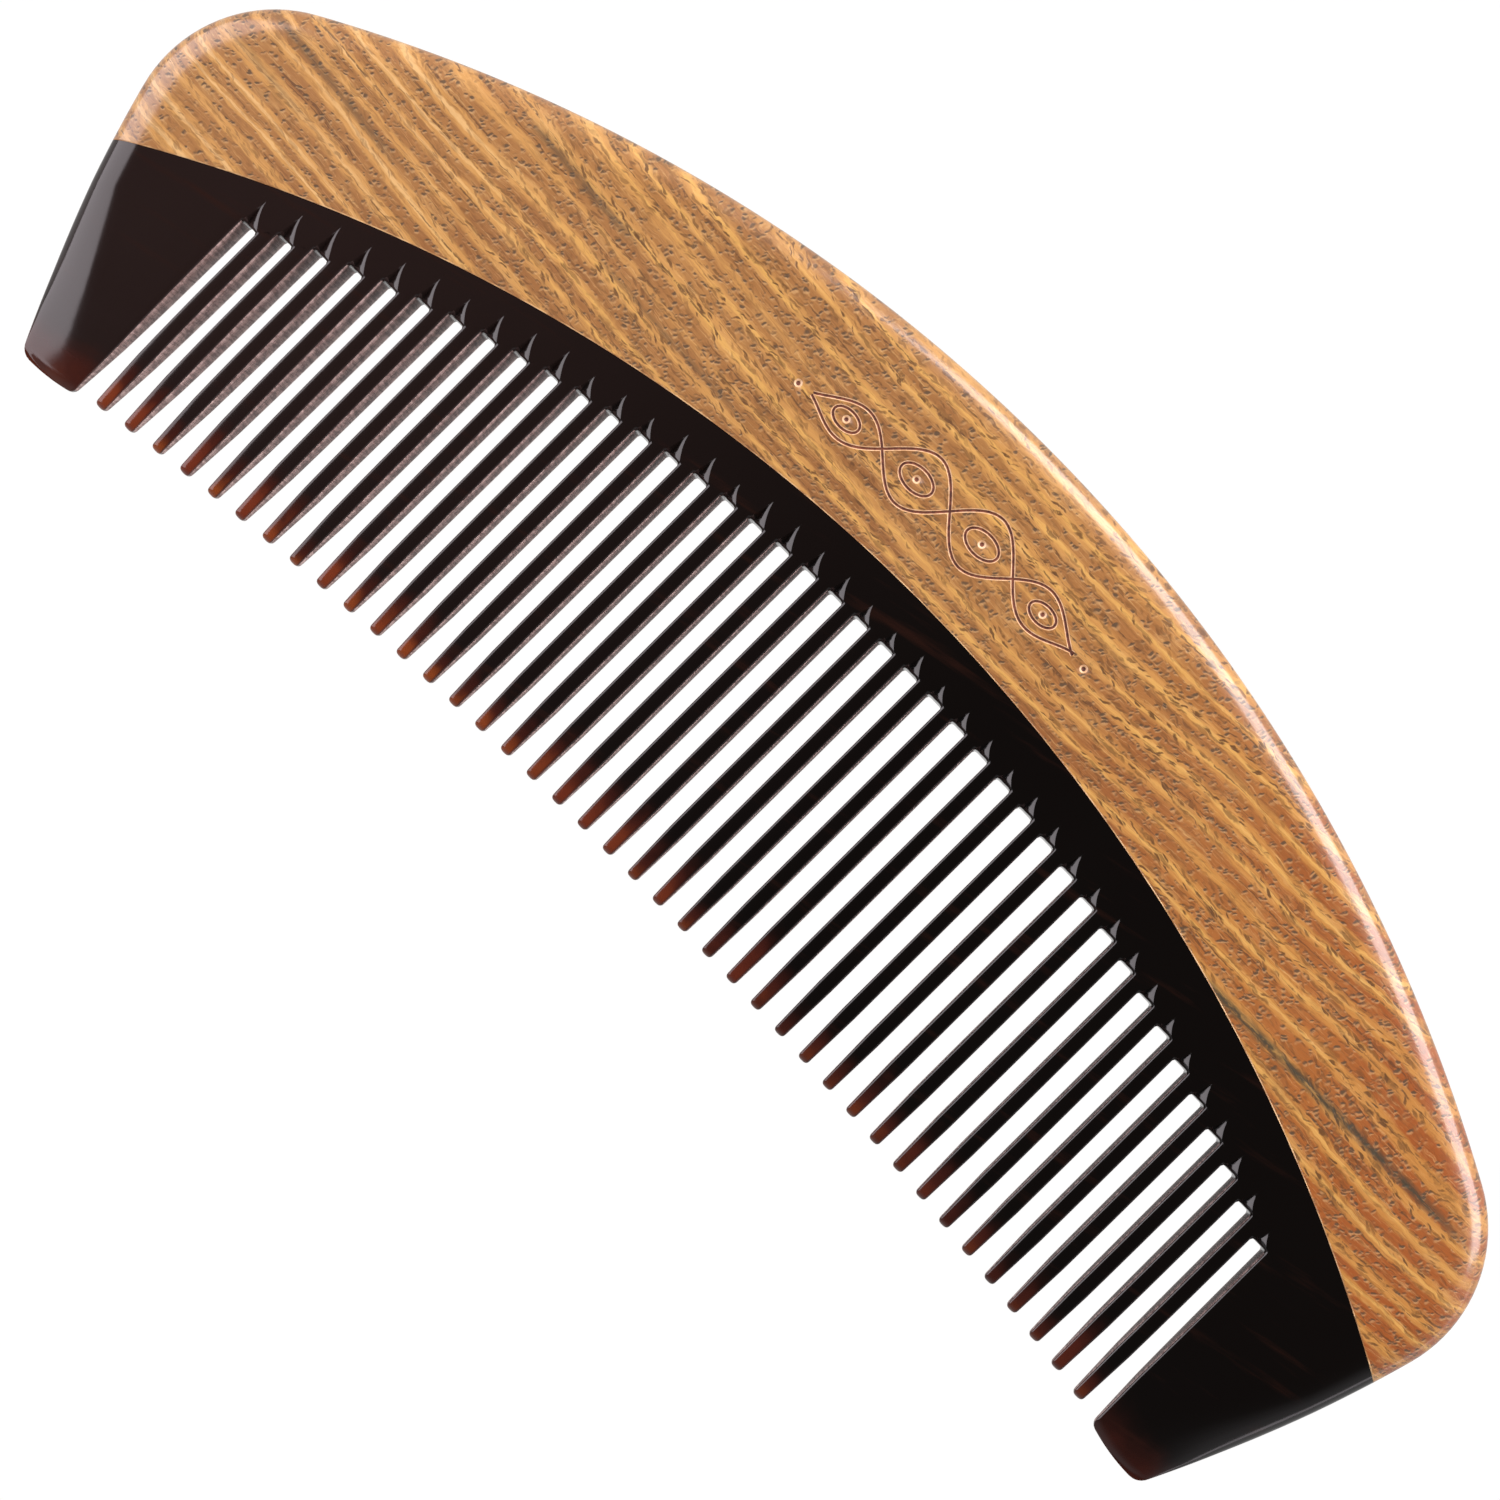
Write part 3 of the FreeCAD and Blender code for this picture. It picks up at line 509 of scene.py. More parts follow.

# %% [markdown]
# The ornament on the face is a line of fine curves, a finger's length from end to end, burnt in with a hot
# point: two waves that cross, with an oval and a dot in each eye and one more dot at either end. Each line
# is cut twice. A broad shallow cut makes the rim, which is painted pale as a painted highlight on its sloping
# sides, and a narrow deep one makes the scorched bottom. The tool for a cut is a round bar bent along the
# line, and a ball for each dot.

# %% The ornament's lines
ORNAMENT_LEFT, ORNAMENT_RIGHT = -19.5, 16.5
ORNAMENT_ROW = HIGH.y - 11.3
ORNAMENT_BEND = 0.0042
ORNAMENT_WAVES = 4
ORNAMENT_HIGH = 3.3
WAVE_END = 0.30
WAVE_START = 0.04
WAVE_STEPS = 150
EYE_MIDDLE = 0.46
OVAL_LONG, OVAL_TALL = 2.0, 1.2
OVAL_STEPS = 48
END_OVAL = 0.80
END_DOT_GAP = 1.7


def ornament_sag(x):
    """How far the ornament bends down away from its middle, to follow the crown."""
    return ORNAMENT_BEND * (x - (ORNAMENT_LEFT + ORNAMENT_RIGHT) / 2) ** 2


def wave_line(sign):
    """One of the two waves. It is tallest in the middle and dies away at both ends."""
    line = []
    for step in range(WAVE_STEPS + 1):
        share = step / WAVE_STEPS
        x = ORNAMENT_LEFT + (ORNAMENT_RIGHT - ORNAMENT_LEFT) * share
        tall = ORNAMENT_HIGH * (WAVE_END + (1 - WAVE_END) * math.sin(math.pi * share) ** 0.8)
        y = ORNAMENT_ROW + sign * tall * math.sin(math.pi * (ORNAMENT_WAVES * share + WAVE_START))
        line.append((x, y - ornament_sag(x)))
    return line


def oval_line(x, y, size):
    """A closed oval line."""
    angles = [2 * math.pi * step / OVAL_STEPS for step in range(OVAL_STEPS)]
    return [(x + OVAL_LONG * size * math.cos(angle), y + OVAL_TALL * size * math.sin(angle))
            for angle in angles]


def ornament_lines():
    """Lists of (line, closed). Lines in one list do not cross each other. A dot is a line of one spot."""
    small = []
    pitch = (ORNAMENT_RIGHT - ORNAMENT_LEFT) / ORNAMENT_WAVES
    for eye in range(ORNAMENT_WAVES):
        x = ORNAMENT_LEFT + pitch * (eye + EYE_MIDDLE)
        y = ORNAMENT_ROW - ornament_sag(x)
        small.append((oval_line(x, y, END_OVAL if eye in (0, ORNAMENT_WAVES - 1) else 1.0), True))
        small.append(([(x, y)], True))
    for x in (ORNAMENT_LEFT - END_DOT_GAP, ORNAMENT_RIGHT + END_DOT_GAP):
        small.append(([(x, ORNAMENT_ROW - ornament_sag(x))], True))
    return [[(wave_line(1), False)], [(wave_line(-1), False)], small]


print("the ornament has", sum(len(lines) for lines in ornament_lines()), "lines")

# %% [markdown]
# A bar is a sheet too, rolled up: its columns follow the line and its rows go round it. The bars of one cut
# are joined into one tool when they don't touch, and the spine's blank loses all six tools one after
# another with Boolean modifiers. Each face that a cut leaves behind takes the material of the tool that
# made it.

# %% Cutting the ornament
BAR_SIDES = 8
RIM_CUT = (0.46, 0.385)
DEEP_CUT = (0.15, 0.03)
DOT = 0.18


def hot_ball(spot, radius, rise):
    """A ball for a dot, a little larger than the bars of the same cut."""
    shape = bmesh.new()
    place = Vector((*spot, MIDDLE_Z + half_thickness(*spot) + rise + DOT / 2))
    bmesh.ops.create_uvsphere(shape, u_segments=20, v_segments=12, radius=radius + DOT,
                              matrix=Matrix.Translation(place))
    return shape


def bent_bar(line, radius, rise, closed):
    """A round bar of this radius along a line, with its axis a little above the face."""
    count = len(line)
    shape = lined_sheet(count if closed else count - 1, BAR_SIDES)
    for vertex in shape.verts:
        step, side = round(vertex.co.x), round(vertex.co.y)
        before, after = step - 1, step + 1
        if not closed:
            before, after = max(before, 0), min(after, count - 1)
        along = (Vector(line[after % count]) - Vector(line[before % count])).normalized()
        x, y = line[step % count]
        angle = 2 * math.pi * (side + 0.5) / BAR_SIDES
        aside = radius * math.cos(angle)
        height = half_thickness(x, y) + rise + radius * math.sin(angle)
        vertex.co = (x - along.y * aside, y + along.x * aside, MIDDLE_Z + height)
    bmesh.ops.remove_doubles(shape, verts=shape.verts, dist=MERGE)
    bmesh.ops.holes_fill(shape, edges=[edge for edge in shape.edges if edge.is_boundary])
    bmesh.ops.recalc_face_normals(shape, faces=shape.faces)
    return shape


def plain_object(shape, name, material):
    """A mesh object, still in millimetres, made for the cutting."""
    mesh = bpy.data.meshes.new(name)
    shape.to_mesh(mesh)
    shape.free()
    mesh.materials.append(material)
    piece = bpy.data.objects.new(name, mesh)
    bpy.context.scene.collection.objects.link(piece)
    return piece


def hot_point(lines, radius, rise, material):
    """One tool: all bars and balls of these lines."""
    tool = bmesh.new()
    for line, closed in lines:
        bar = hot_ball(line[0], radius, rise) if len(line) == 1 else bent_bar(line, radius, rise, closed)
        mesh = bpy.data.meshes.new("bar")
        bar.to_mesh(mesh)
        bar.free()
        tool.from_mesh(mesh)
        bpy.data.meshes.remove(mesh)
    return plain_object(tool, "hot_point", material)


def cut_ornament(shape, wood, rim, scorch):
    """Cuts every line out of the spine, the broad cuts first, and returns the shape that is left."""
    blank = plain_object(shape, "spine_blank", wood)
    tools = [hot_point(lines, *cut, material)
             for cut, material in ((RIM_CUT, rim), (DEEP_CUT, scorch)) for lines in ornament_lines()]
    for tool in tools:
        cut = blank.modifiers.new("cut", "BOOLEAN")
        cut.operation = "DIFFERENCE"
        cut.solver = "EXACT"
        cut.material_mode = "TRANSFER"
        cut.object = tool
    bpy.context.view_layer.update()
    evaluated = blank.evaluated_get(bpy.context.evaluated_depsgraph_get())
    mesh = bpy.data.meshes.new_from_object(evaluated)
    order = [material.name for material in mesh.materials]
    print("faces after the cuts:", len(mesh.polygons), order)
    wanted = [wood.name, rim.name, scorch.name]
    result = bmesh.new()
    result.from_mesh(mesh)
    for face in result.faces:
        face.material_index = wanted.index(order[face.material_index])
    for piece in tools + [blank]:
        used = piece.data
        bpy.data.objects.remove(piece)
        bpy.data.meshes.remove(used)
    bpy.data.meshes.remove(mesh)
    return result


# %% [markdown]
# The horn is one plate: a curved bar along the seam, forty teeth, and a broad guard at each end. The teeth
# are what the saw leaves between forty-one slots, so the plate is laid out by its slots. Every column of
# squares belongs to a guard, to a slot, or to the tooth between two slots, and the columns stand close
# together where an edge is rounded.

# %% Columns of the horn
PITCH = 3.5
KERF_HALF = 0.975
SLOT_SHIFT = -0.35
SLOTS = 41
ROOTS_ABOVE_TURNING = 167.7
ROOT_RADIUS = 168.0
ROOT = Vector((0, TURNING.y + ROOTS_ABOVE_TURNING - ROOT_RADIUS))
TOOTH_EDGE = 0.24
TOOTH_WIDTH = PITCH - 2 * KERF_HALF
EDGE_SHARES = [inward * TOOTH_EDGE / TOOTH_WIDTH for inward, _ in rounding_steps(3)][1:]
TOOTH_LINES = EDGE_SHARES + [0.5] + [1 - share for share in reversed(EDGE_SHARES)]
GROOVE_LINES = [-1, -0.85, -0.65, -0.45, -0.15, 0.2, 0.55, 0.85, 1]
GUARD_EDGE = rounding_steps(9)
GUARD_LINES = [0.30, 0.5, 0.7, 0.85]
GUARD_COLUMNS = range(len(GUARD_EDGE) + len(GUARD_LINES) + len(EDGE_SHARES))


def slot_x(number):
    """The middle of a slot."""
    return SLOT_SHIFT + PITCH * (number - (SLOTS - 1) / 2)


def root_y(number):
    """The height at which a slot ends."""
    return circle_y(ROOT, ROOT_RADIUS, slot_x(number) - SLOT_SHIFT)


def station_list():
    """What each column of squares is: part of a guard, of a slot, or of a tooth."""
    stations = [("guard", -1, index) for index in GUARD_COLUMNS]
    for number in range(SLOTS):
        stations += [("slot", number, line) for line in GROOVE_LINES]
        if number < SLOTS - 1:
            stations += [("tooth", number, share) for share in TOOTH_LINES]
    return stations + [("guard", 1, index) for index in reversed(GUARD_COLUMNS)]


STATIONS = station_list()
print("columns of the horn:", len(STATIONS))

# %% [markdown]
# The rows run from the tips up to the seam. Near a tip each row keeps its height above that tip, and
# further up its share of the tooth's length. Above the slots' roots the rows follow the line of the roots
# at first, and the last three spread out over what is left up to the seam.

# %% Rows of the horn
ROOT_CORNER = 0.3
TIP_HEIGHTS = [6.5, 5.0, 3.6, 2.6, 1.8, 1.2, 0.8, 0.5, 0.3, 0.16, 0.06, 0.0]
TOOTH_SHARES = [0.02, 0.05, 0.12, 0.25, 0.4, 0.55, 0.7, 0.85, 1.0]
BAR_HEIGHTS = [0, 0.04, 0.12, 0.24, 0.5, 0.8, 1.15, 1.55, 2.0, 2.5, 3.0, 3.5, 4.1]
BAR_SHARES = [0.33, 0.67, 1.0]
ROOT_ROW = len(TOOTH_SHARES) + len(TIP_HEIGHTS) - 1
LAST_ROW = ROOT_ROW + len(BAR_HEIGHTS) + len(BAR_SHARES) - 1


def seam_y(x):
    """The horn's side of the seam."""
    return circle_y(SEAM, SEAM_RADIUS - GLUE, x)


def row_rise(row):
    """(height above the root, share of what is left up to the seam) for the rows of the bar."""
    index = row - ROOT_ROW
    if index < len(BAR_HEIGHTS):
        return BAR_HEIGHTS[index], 0.0
    return BAR_HEIGHTS[-1], BAR_SHARES[index - len(BAR_HEIGHTS)]


def bar_y(row, root, x):
    """The height of a row of the bar, over a spot whose slot root is known."""
    rise, share = row_rise(row)
    low = root + rise
    return low + (seam_y(x) - low) * share


def tooth_y(row, root, foot):
    """The height of a row below the roots, from the tooth's or the guard's foot and its root."""
    index = ROOT_ROW - row - 1
    if index >= len(TOOTH_SHARES):
        return foot + TIP_HEIGHTS[index - len(TOOTH_SHARES) + 1]
    start = root - ROOT_CORNER
    return start + (foot + TIP_HEIGHTS[0] - start) * TOOTH_SHARES[index]


print("rows of the horn:", LAST_ROW + 1, "and the slots end at row", ROOT_ROW)

# %% [markdown]
# A saw's blade is round, so where a cut ends the blade runs out over the face and leaves a small hollow
# that narrows to a point above the slot. The hollows lean to one side, more so at the left end of the comb,
# and they are longer there too. No two are quite the same length, because a hand stopped each cut.

# %% Slots and run-outs
NOTCH_LONG, NOTCH_LESS = 3.6, 1.6
NOTCH_LUCK = (0.72, 1.12)
NOTCH_NARROWING = 1.8
NOTCH_END_HALF = 0.05
NOTCH_LEAN = 0.55
NOTCH_LEAN_LESS = 0.8
NOTCH_VALLEY = -0.45
NOTCH_SLOPE = 0.62
NOTCH_HOLLOW = 1.15
chance = random.Random(11)


def notch_lengths():
    """How far each cut runs out above its slot: longer at the left, and never twice the same."""
    return [(NOTCH_LONG - NOTCH_LESS * number / (SLOTS - 1)) * chance.uniform(*NOTCH_LUCK)
            for number in range(SLOTS)]


NOTCHES = {FRONT_LEVEL: notch_lengths(), BACK_LEVEL: notch_lengths()}


def groove_half(number, level, rise):
    """Half of the width of a run-out at a rise above the slot's root."""
    length = NOTCHES[level][number]
    return max(NOTCH_END_HALF, KERF_HALF * max(0.0, 1 - rise / length) ** NOTCH_NARROWING)


def groove_x(number, level, rise):
    """Where the middle of that run-out is: it leans to one side as it runs out."""
    lean = NOTCH_LEAN * (1 - NOTCH_LEAN_LESS * number / (SLOTS - 1))
    lean *= min(1.0, rise / NOTCHES[level][number] + 0.6)
    return slot_x(number) - lean * (KERF_HALF - groove_half(number, level, rise))


def edge_drop(distance, width, depth):
    """How far a rounded edge of this width and depth has fallen, at a distance in from its wall."""
    if distance >= width:
        return 0.0
    return depth * (1 - math.sqrt(max(0.0, 1 - (1 - distance / width) ** 2)))


def slot_drop(x, y, number):
    """The small rounding that runs round the mouth of a slot."""
    aside = max(0.0, abs(x - slot_x(number)) - KERF_HALF)
    above = max(0.0, y - root_y(number))
    return edge_drop(math.hypot(aside, above), TOOTH_EDGE, TOOTH_EDGE)


def slot_spot(number, line, row, level):
    """A vertex over a slot: on the run-out above its root, or in the root's own edge."""
    rise, _ = row_rise(row)
    half = groove_half(number, level, rise)
    x = groove_x(number, level, rise) + half * line
    y = bar_y(row, root_y(number), x)
    if row == ROOT_ROW:
        corner = max(0.0, abs(line) * KERF_HALF - (KERF_HALF - ROOT_CORNER)) / ROOT_CORNER
        y -= ROOT_CORNER * (1 - math.sqrt(max(0.0, 1 - corner ** 2)))
    if line < NOTCH_VALLEY:
        depth = (1 + line) / (1 + NOTCH_VALLEY)
    else:
        depth = ((1 - line) / (1 - NOTCH_VALLEY)) ** NOTCH_HOLLOW
    depth *= (half - NOTCH_END_HALF) * (1 - NOTCH_VALLEY) * NOTCH_SLOPE
    return x, y, half_thickness(x, y) - depth - slot_drop(x, y, number)


print("run-outs from", round(min(NOTCHES[FRONT_LEVEL]), 1), "to", round(max(NOTCHES[FRONT_LEVEL]), 1), "mm")

# %% [markdown]
# A tooth keeps its width for most of its length and then tapers to a small rounded tip. All its edges are
# broken lightly, so that it doesn't scratch, and its tip is thinned from both faces.

# %% Teeth
TAPER = 6.5
TIP_WIDTH_HALF = 0.63
TIP_CORNER = 0.45
TIP_ROUNDING = 0.55
TIP_THIN = 0.2
THINNEST_TIP = 0.12
SOFTER_AT_TIP = 0.4


def tooth_half(height):
    """Half of a tooth's width at a height above its tip."""
    if height >= TAPER:
        return TOOTH_WIDTH / 2
    slope = (TOOTH_WIDTH / 2 - TIP_WIDTH_HALF) / (TAPER - TIP_CORNER)
    half = TIP_WIDTH_HALF + slope * max(0.0, height - TIP_CORNER)
    if height < TIP_CORNER:
        half -= TIP_CORNER - math.sqrt(max(0.0, TIP_CORNER ** 2 - (TIP_CORNER - height) ** 2))
    return half


def bar_spot(number, share, row, level):
    """A vertex of the bar, between two slots."""
    root = root_y(number) + (root_y(number + 1) - root_y(number)) * share
    rise, _ = row_rise(row)
    left = groove_x(number, level, rise) + groove_half(number, level, rise)
    right = groove_x(number + 1, level, rise) - groove_half(number + 1, level, rise)
    x = left + (right - left) * share
    y = bar_y(row, root, x)
    if row == ROOT_ROW and share in (0.0, 1.0):
        y -= ROOT_CORNER
    drop = max(slot_drop(x, y, number), slot_drop(x, y, number + 1))
    return x, y, half_thickness(x, y) - drop


def tooth_spot(number, share, row):
    """A vertex of a tooth, below the roots of its two slots."""
    middle = (slot_x(number) + slot_x(number + 1)) / 2
    tip = TIP_CENTRE_Y + math.sqrt(TIP_RADIUS ** 2 - middle ** 2)
    y = tooth_y(row, root_y(number if share < 0.5 else number + 1), tip)
    height = y - tip
    half = tooth_half(height)
    x = middle + half * (2 * share - 1)
    face = half_thickness(x, y)
    drop_tip = edge_drop(height, TIP_ROUNDING, face - TIP_THIN)
    drop_side = edge_drop(min(share, 1 - share) * 2 * half, TOOTH_EDGE, TOOTH_EDGE)
    drop_side *= 1 - SOFTER_AT_TIP * max(0.0, 1 - height / TIP_ROUNDING)
    return x, y, max(THINNEST_TIP, face - drop_tip - drop_side)


print("a tooth is", round(TOOTH_WIDTH, 2), "mm wide, and its tip", 2 * TIP_WIDTH_HALF)

# %% [markdown]
# The guards are broad so that they keep the outer teeth from breaking. At the seam a guard's outer edge is
# rounded like the spine's, and from there the rounding spreads until it takes in most of the foot, which is
# sanded thin. The long side, the foot's small corner and the sole are the arcs of the outline.

# %% Guards
GUARD_WIDER = 4.8
WIDENING_LENGTH = 25.0
WIDENING_POWER = 0.85
WIDEST_SHARE = 0.8
HEEL_CORNER = 0.6
ROOT_SETTLING = 6.0
FOOT_ROUNDING = 1.0
FOOT_THIN = 0.35
THINNEST_FOOT = 0.3
THINNEST_EDGE = 0.15


def side_x(y):
    """The guard's outer edge at the right end: its long arc, then the small one at the foot's corner."""
    if y < ANKLE.y:
        low = max(-1.0, min(1.0, (y - FOOT_CORNER.y) / FOOT_CORNER_RADIUS))
        return FOOT_CORNER.x + FOOT_CORNER_RADIUS * math.sqrt(max(0.0, 1 - low ** 2))
    return SIDE.x + math.sqrt(SIDE_RADIUS ** 2 - (y - SIDE.y) ** 2)


def outer_root():
    """The height at which the line of the slot roots, drawn on, would leave the side of the comb."""
    x = HIGH.x
    for _ in range(8):
        x = side_x(circle_y(ROOT, ROOT_RADIUS, x))
    return circle_y(ROOT, ROOT_RADIUS, x)


OUTER_ROOT = outer_root()


def last_slot(side):
    """The slot beside a guard."""
    return 0 if side == -1 else SLOTS - 1


def guard_wall_x(side, row):
    """The guard's wall along its slot: it runs like a tooth's, and ends in a small rounded heel."""
    height = tooth_y(row, OUTER_ROOT, SOLE.y) - SOLE.y
    x = slot_x(last_slot(side)) * side + PITCH / 2 - tooth_half(max(height, TIP_CORNER))
    if height < HEEL_CORNER:
        x += HEEL_CORNER - math.sqrt(max(0.0, HEEL_CORNER ** 2 - (HEEL_CORNER - height) ** 2))
    return x


def guard_inner(side, row, level):
    """Where a guard's face ends: at the slot below the root, and at the saw's run-out above it."""
    if row < ROOT_ROW:
        return guard_wall_x(side, row)
    number = last_slot(side)
    rise, _ = row_rise(row)
    return groove_x(number, level, rise) * side + groove_half(number, level, rise)


def guard_root(side, x):
    """The line of the slot roots, drawn on from the last slot into the guard."""
    number = last_slot(side)
    wall = slot_x(number) * side + KERF_HALF
    if x < wall:
        return root_y(number)
    step = root_y(number) - circle_y(ROOT, ROOT_RADIUS, wall)
    return circle_y(ROOT, ROOT_RADIUS, x) + step * max(0.0, 1 - (x - wall) / ROOT_SETTLING)


def guard_outer(side, row):
    """Where a row leaves the guard at the side of the comb."""
    if row < ROOT_ROW:
        y = tooth_y(row, OUTER_ROOT, SOLE.y)
        return side_x(y), y
    x = HIGH.x
    for _ in range(6):
        y = bar_y(row, circle_y(ROOT, ROOT_RADIUS, x), x * side)
        x = side_x(y)
    return x, y


def guard_column_x(index, inner, outer, reach):
    """Where a column crosses the guard: on its rounded outer edge, on its flat, or on the slot's edge."""
    rest = index - len(GUARD_EDGE)
    if rest < 0:
        return outer - GUARD_EDGE[index][0] * reach
    if rest < len(GUARD_LINES):
        return outer - reach + (inner - outer + reach) * GUARD_LINES[rest]
    return inner + EDGE_SHARES[-1 - rest + len(GUARD_LINES)] * TOOTH_WIDTH


def guard_spot(side, index, row, level):
    """A vertex of a guard's face."""
    number = last_slot(side)
    inner = guard_inner(side, row, level)
    outer, outer_y = guard_outer(side, row)
    spread = max(0.0, min(1.0, (OUTER_ROOT - outer_y) / WIDENING_LENGTH)) ** WIDENING_POWER
    width = EDGE_WIDE + GUARD_WIDER * spread
    x = guard_column_x(index, inner, outer, min(width, WIDEST_SHARE * (outer - inner)))
    foot = circle_y(FOOT, FOOT_RADIUS, min(x, SOLE.x), -1)
    if row >= ROOT_ROW:
        y = bar_y(row, guard_root(side, x), x * side)
        slot_edge = slot_drop(x * side, y, number)
        above = 0.0
    else:
        far = side_x(OUTER_ROOT)
        wall = slot_x(number) * side + KERF_HALF
        y = tooth_y(row, guard_root(side, far + (wall - far) * (outer - x) / (outer - inner)), foot)
        slot_edge = edge_drop(x - inner, TOOTH_EDGE, TOOTH_EDGE)
        above = max(0.0, 1 - (y - foot) / FOOT_ROUNDING)
    face = half_thickness(x * side, y)
    depth = min(EDGE_DEEP + (face - FOOT_THIN - EDGE_DEEP) * spread, face - THINNEST_FOOT)
    power = 2 - 0.5 * spread
    aside = max(0.0, 1 - (side_x(max(y, SOLE.y)) - x) / width)
    near = min(1.0, math.hypot(aside, above))
    drop = max(depth * (1 - (1 - near ** power) ** (1 / power)), slot_edge)
    return x * side, y, max(THINNEST_EDGE, face - drop)


def guard_wall(side, row):
    """A vertex of the guard's wall along its slot."""
    x = guard_wall_x(side, row)
    foot = circle_y(FOOT, FOOT_RADIUS, x, -1)
    y = tooth_y(row, root_y(last_slot(side)), foot)
    face = half_thickness(x * side, y)
    drop = edge_drop(y - foot, FOOT_ROUNDING, face - THINNEST_FOOT)
    return x * side, y, max(THINNEST_EDGE, face - max(drop, TOOTH_EDGE))


print("the roots' line leaves the side of the comb at", round(OUTER_ROOT, 1), "mm")

# %% [markdown]
# Now the plate can be made. The squares of the slots are taken out below the roots before the sheet gets
# its thickness, so the walls of the slots grow with the outer ones and the plate stays one closed skin.

# %% Horn plate
def vertex_part(station, row):
    """What a vertex belongs to. Below the roots, a slot's outer lines are the walls beside it."""
    kind, number, place = station
    if kind != "slot" or row >= ROOT_ROW:
        return kind, number, place
    if place == 1:
        return ("tooth", number, 0.0) if number < SLOTS - 1 else ("wall", 1, 0)
    return ("tooth", number - 1, 1.0) if number > 0 else ("wall", -1, 0)


def horn_spot(column, row, level):
    """Where a vertex of the horn's front or back goes, and its height above the mid-plane."""
    kind, number, place = vertex_part(STATIONS[column], row)
    if kind == "guard":
        return guard_spot(number, place, row, level)
    if kind == "wall":
        return guard_wall(number, row)
    if kind == "slot":
        return slot_spot(number, place, row, level)
    if row >= ROOT_ROW:
        return bar_spot(number, place, row, level)
    return tooth_spot(number, place, row)


def is_gap(face):
    """Whether a square of the sheet lies in a slot."""
    centre = face.calc_center_median()
    left, right = STATIONS[int(centre.x)], STATIONS[int(centre.x) + 1]
    return left[0] == right[0] == "slot" and centre.y < ROOT_ROW


def make_horn():
    """The plate with its teeth, guards, run-outs and tongue."""
    shape = lined_sheet(len(STATIONS) - 1, LAST_ROW)
    bmesh.ops.delete(shape, geom=[face for face in shape.faces if is_gap(face)], context="FACES")
    thicken(shape)
    strip = seam_strip(shape, LAST_ROW)
    for vertex in shape.verts:
        column, row, level = (round(c) for c in vertex.co)
        face_level = FRONT_LEVEL if level >= 2 else BACK_LEVEL
        x, y, height = horn_spot(column, row, face_level)
        if level in (1, 2):
            height = min(TONGUE_HALF, height * 0.5)
        vertex.co = (x, y, MIDDLE_Z + (height if face_level == FRONT_LEVEL else -height))
    push_strip(shape, strip, TONGUE_ANGLE - TONGUE_SLACK)
    return finish_mesh(shape, "sawn_horn_plate")


horn = make_horn()

# %% [markdown]
# Wood, horn and glue were sanded and buffed as one piece, so the same fine scratches and the same faint
# smears of polish run over all three. What several finishes share is a node group: it is built once, each
# finish places it, and only values that vary over the surface come out of it.

# %% The polish that all finishes share
def new_group(name, inputs, outputs):
    """An empty shader node group. Each input or output is a (name, kind, value) triple."""
    group = bpy.data.node_groups.new(name, "ShaderNodeTree")
    for direction, sockets in (("INPUT", inputs), ("OUTPUT", outputs)):
        for label, kind, value in sockets:
            socket = group.interface.new_socket(name=label, in_out=direction, socket_type=f"NodeSocket{kind}")
            if value is not None:
                socket.default_value = value
    return group, group.nodes.new("NodeGroupInput"), group.nodes.new("NodeGroupOutput")


def axes(tree, vector):
    """The three parts of a vector."""
    node = tree.nodes.new("ShaderNodeSeparateXYZ")
    tree.links.new(vector, node.inputs[0])
    return node.outputs["X"], node.outputs["Y"], node.outputs["Z"]


def noise(tree, place, scale, detail=2.0, roughness=0.5, output=0):
    """Even noise. The scale is in waves per millimetre."""
    return add(tree, "ShaderNodeTexNoise",
               {"Vector": place, "Scale": scale, "Detail": detail, "Roughness": roughness}, output=output)


def stretched_noise(tree, place, scale, turn=0.0, detail=2.0, roughness=0.5):
    """Noise drawn out along one direction. The scale is in waves per millimetre along X, Y and Z."""
    drawn = add(tree, "ShaderNodeMapping", {"Vector": place, "Rotation": (0, 0, math.radians(turn))})
    drawn = add(tree, "ShaderNodeVectorMath", {0: drawn, 1: scale}, operation="MULTIPLY")
    return noise(tree, drawn, 1.0, detail, roughness)


def make_polish():
    """Smears that change the gloss, and buffing scratches that lie mostly along the comb."""
    group, given, result = new_group("hand_polish", [("Place", "Vector", None)],
                                     [("Smears", "Float", 0.5), ("Scratches", "Float", 0.5)])
    place = given.outputs["Place"]
    smears = noise(group, place, 0.11, detail=4.0, roughness=0.6)
    drawn = {"Vector": place, "Rotation": (0, 0, 0.14), "Scale": (0.25, 7, 7)}
    scratches = noise(group, add(group, "ShaderNodeMapping", drawn), 1.0, detail=3.0)
    group.links.new(smears, result.inputs["Smears"])
    group.links.new(scratches, result.inputs["Scratches"])
    return group


POLISH = make_polish()
print("shared group:", POLISH.name, [socket.name for socket in POLISH.interface.items_tree])

# %% [markdown]
# Every finish starts from the same Principled shader and from the spot on the comb in millimetres, and ends
# the same way: its colour, its roughness and its relief are linked to the shader. A number that is the same
# all over a surface is set on the shader itself.

# %% Helpers for finishes
def place_group(tree, group, **links):
    """Puts a node group into a finish, links its inputs and returns its outputs in order."""
    node = tree.nodes.new("ShaderNodeGroup")
    node.node_tree = group
    for name, value in links.items():
        tree.links.new(value, node.inputs[name])
    return list(node.outputs)


def new_finish(name):
    """A material with a Principled shader, and the spot on the comb in millimetres."""
    material = bpy.data.materials.new(name)
    material.use_nodes = True
    tree = material.node_tree
    spot = add(tree, "ShaderNodeTexCoord", output="Object")
    spot = add(tree, "ShaderNodeMapping", {"Vector": spot, "Scale": (1 / MM, 1 / MM, 1 / MM)})
    return material, tree, tree.nodes["Principled BSDF"], spot


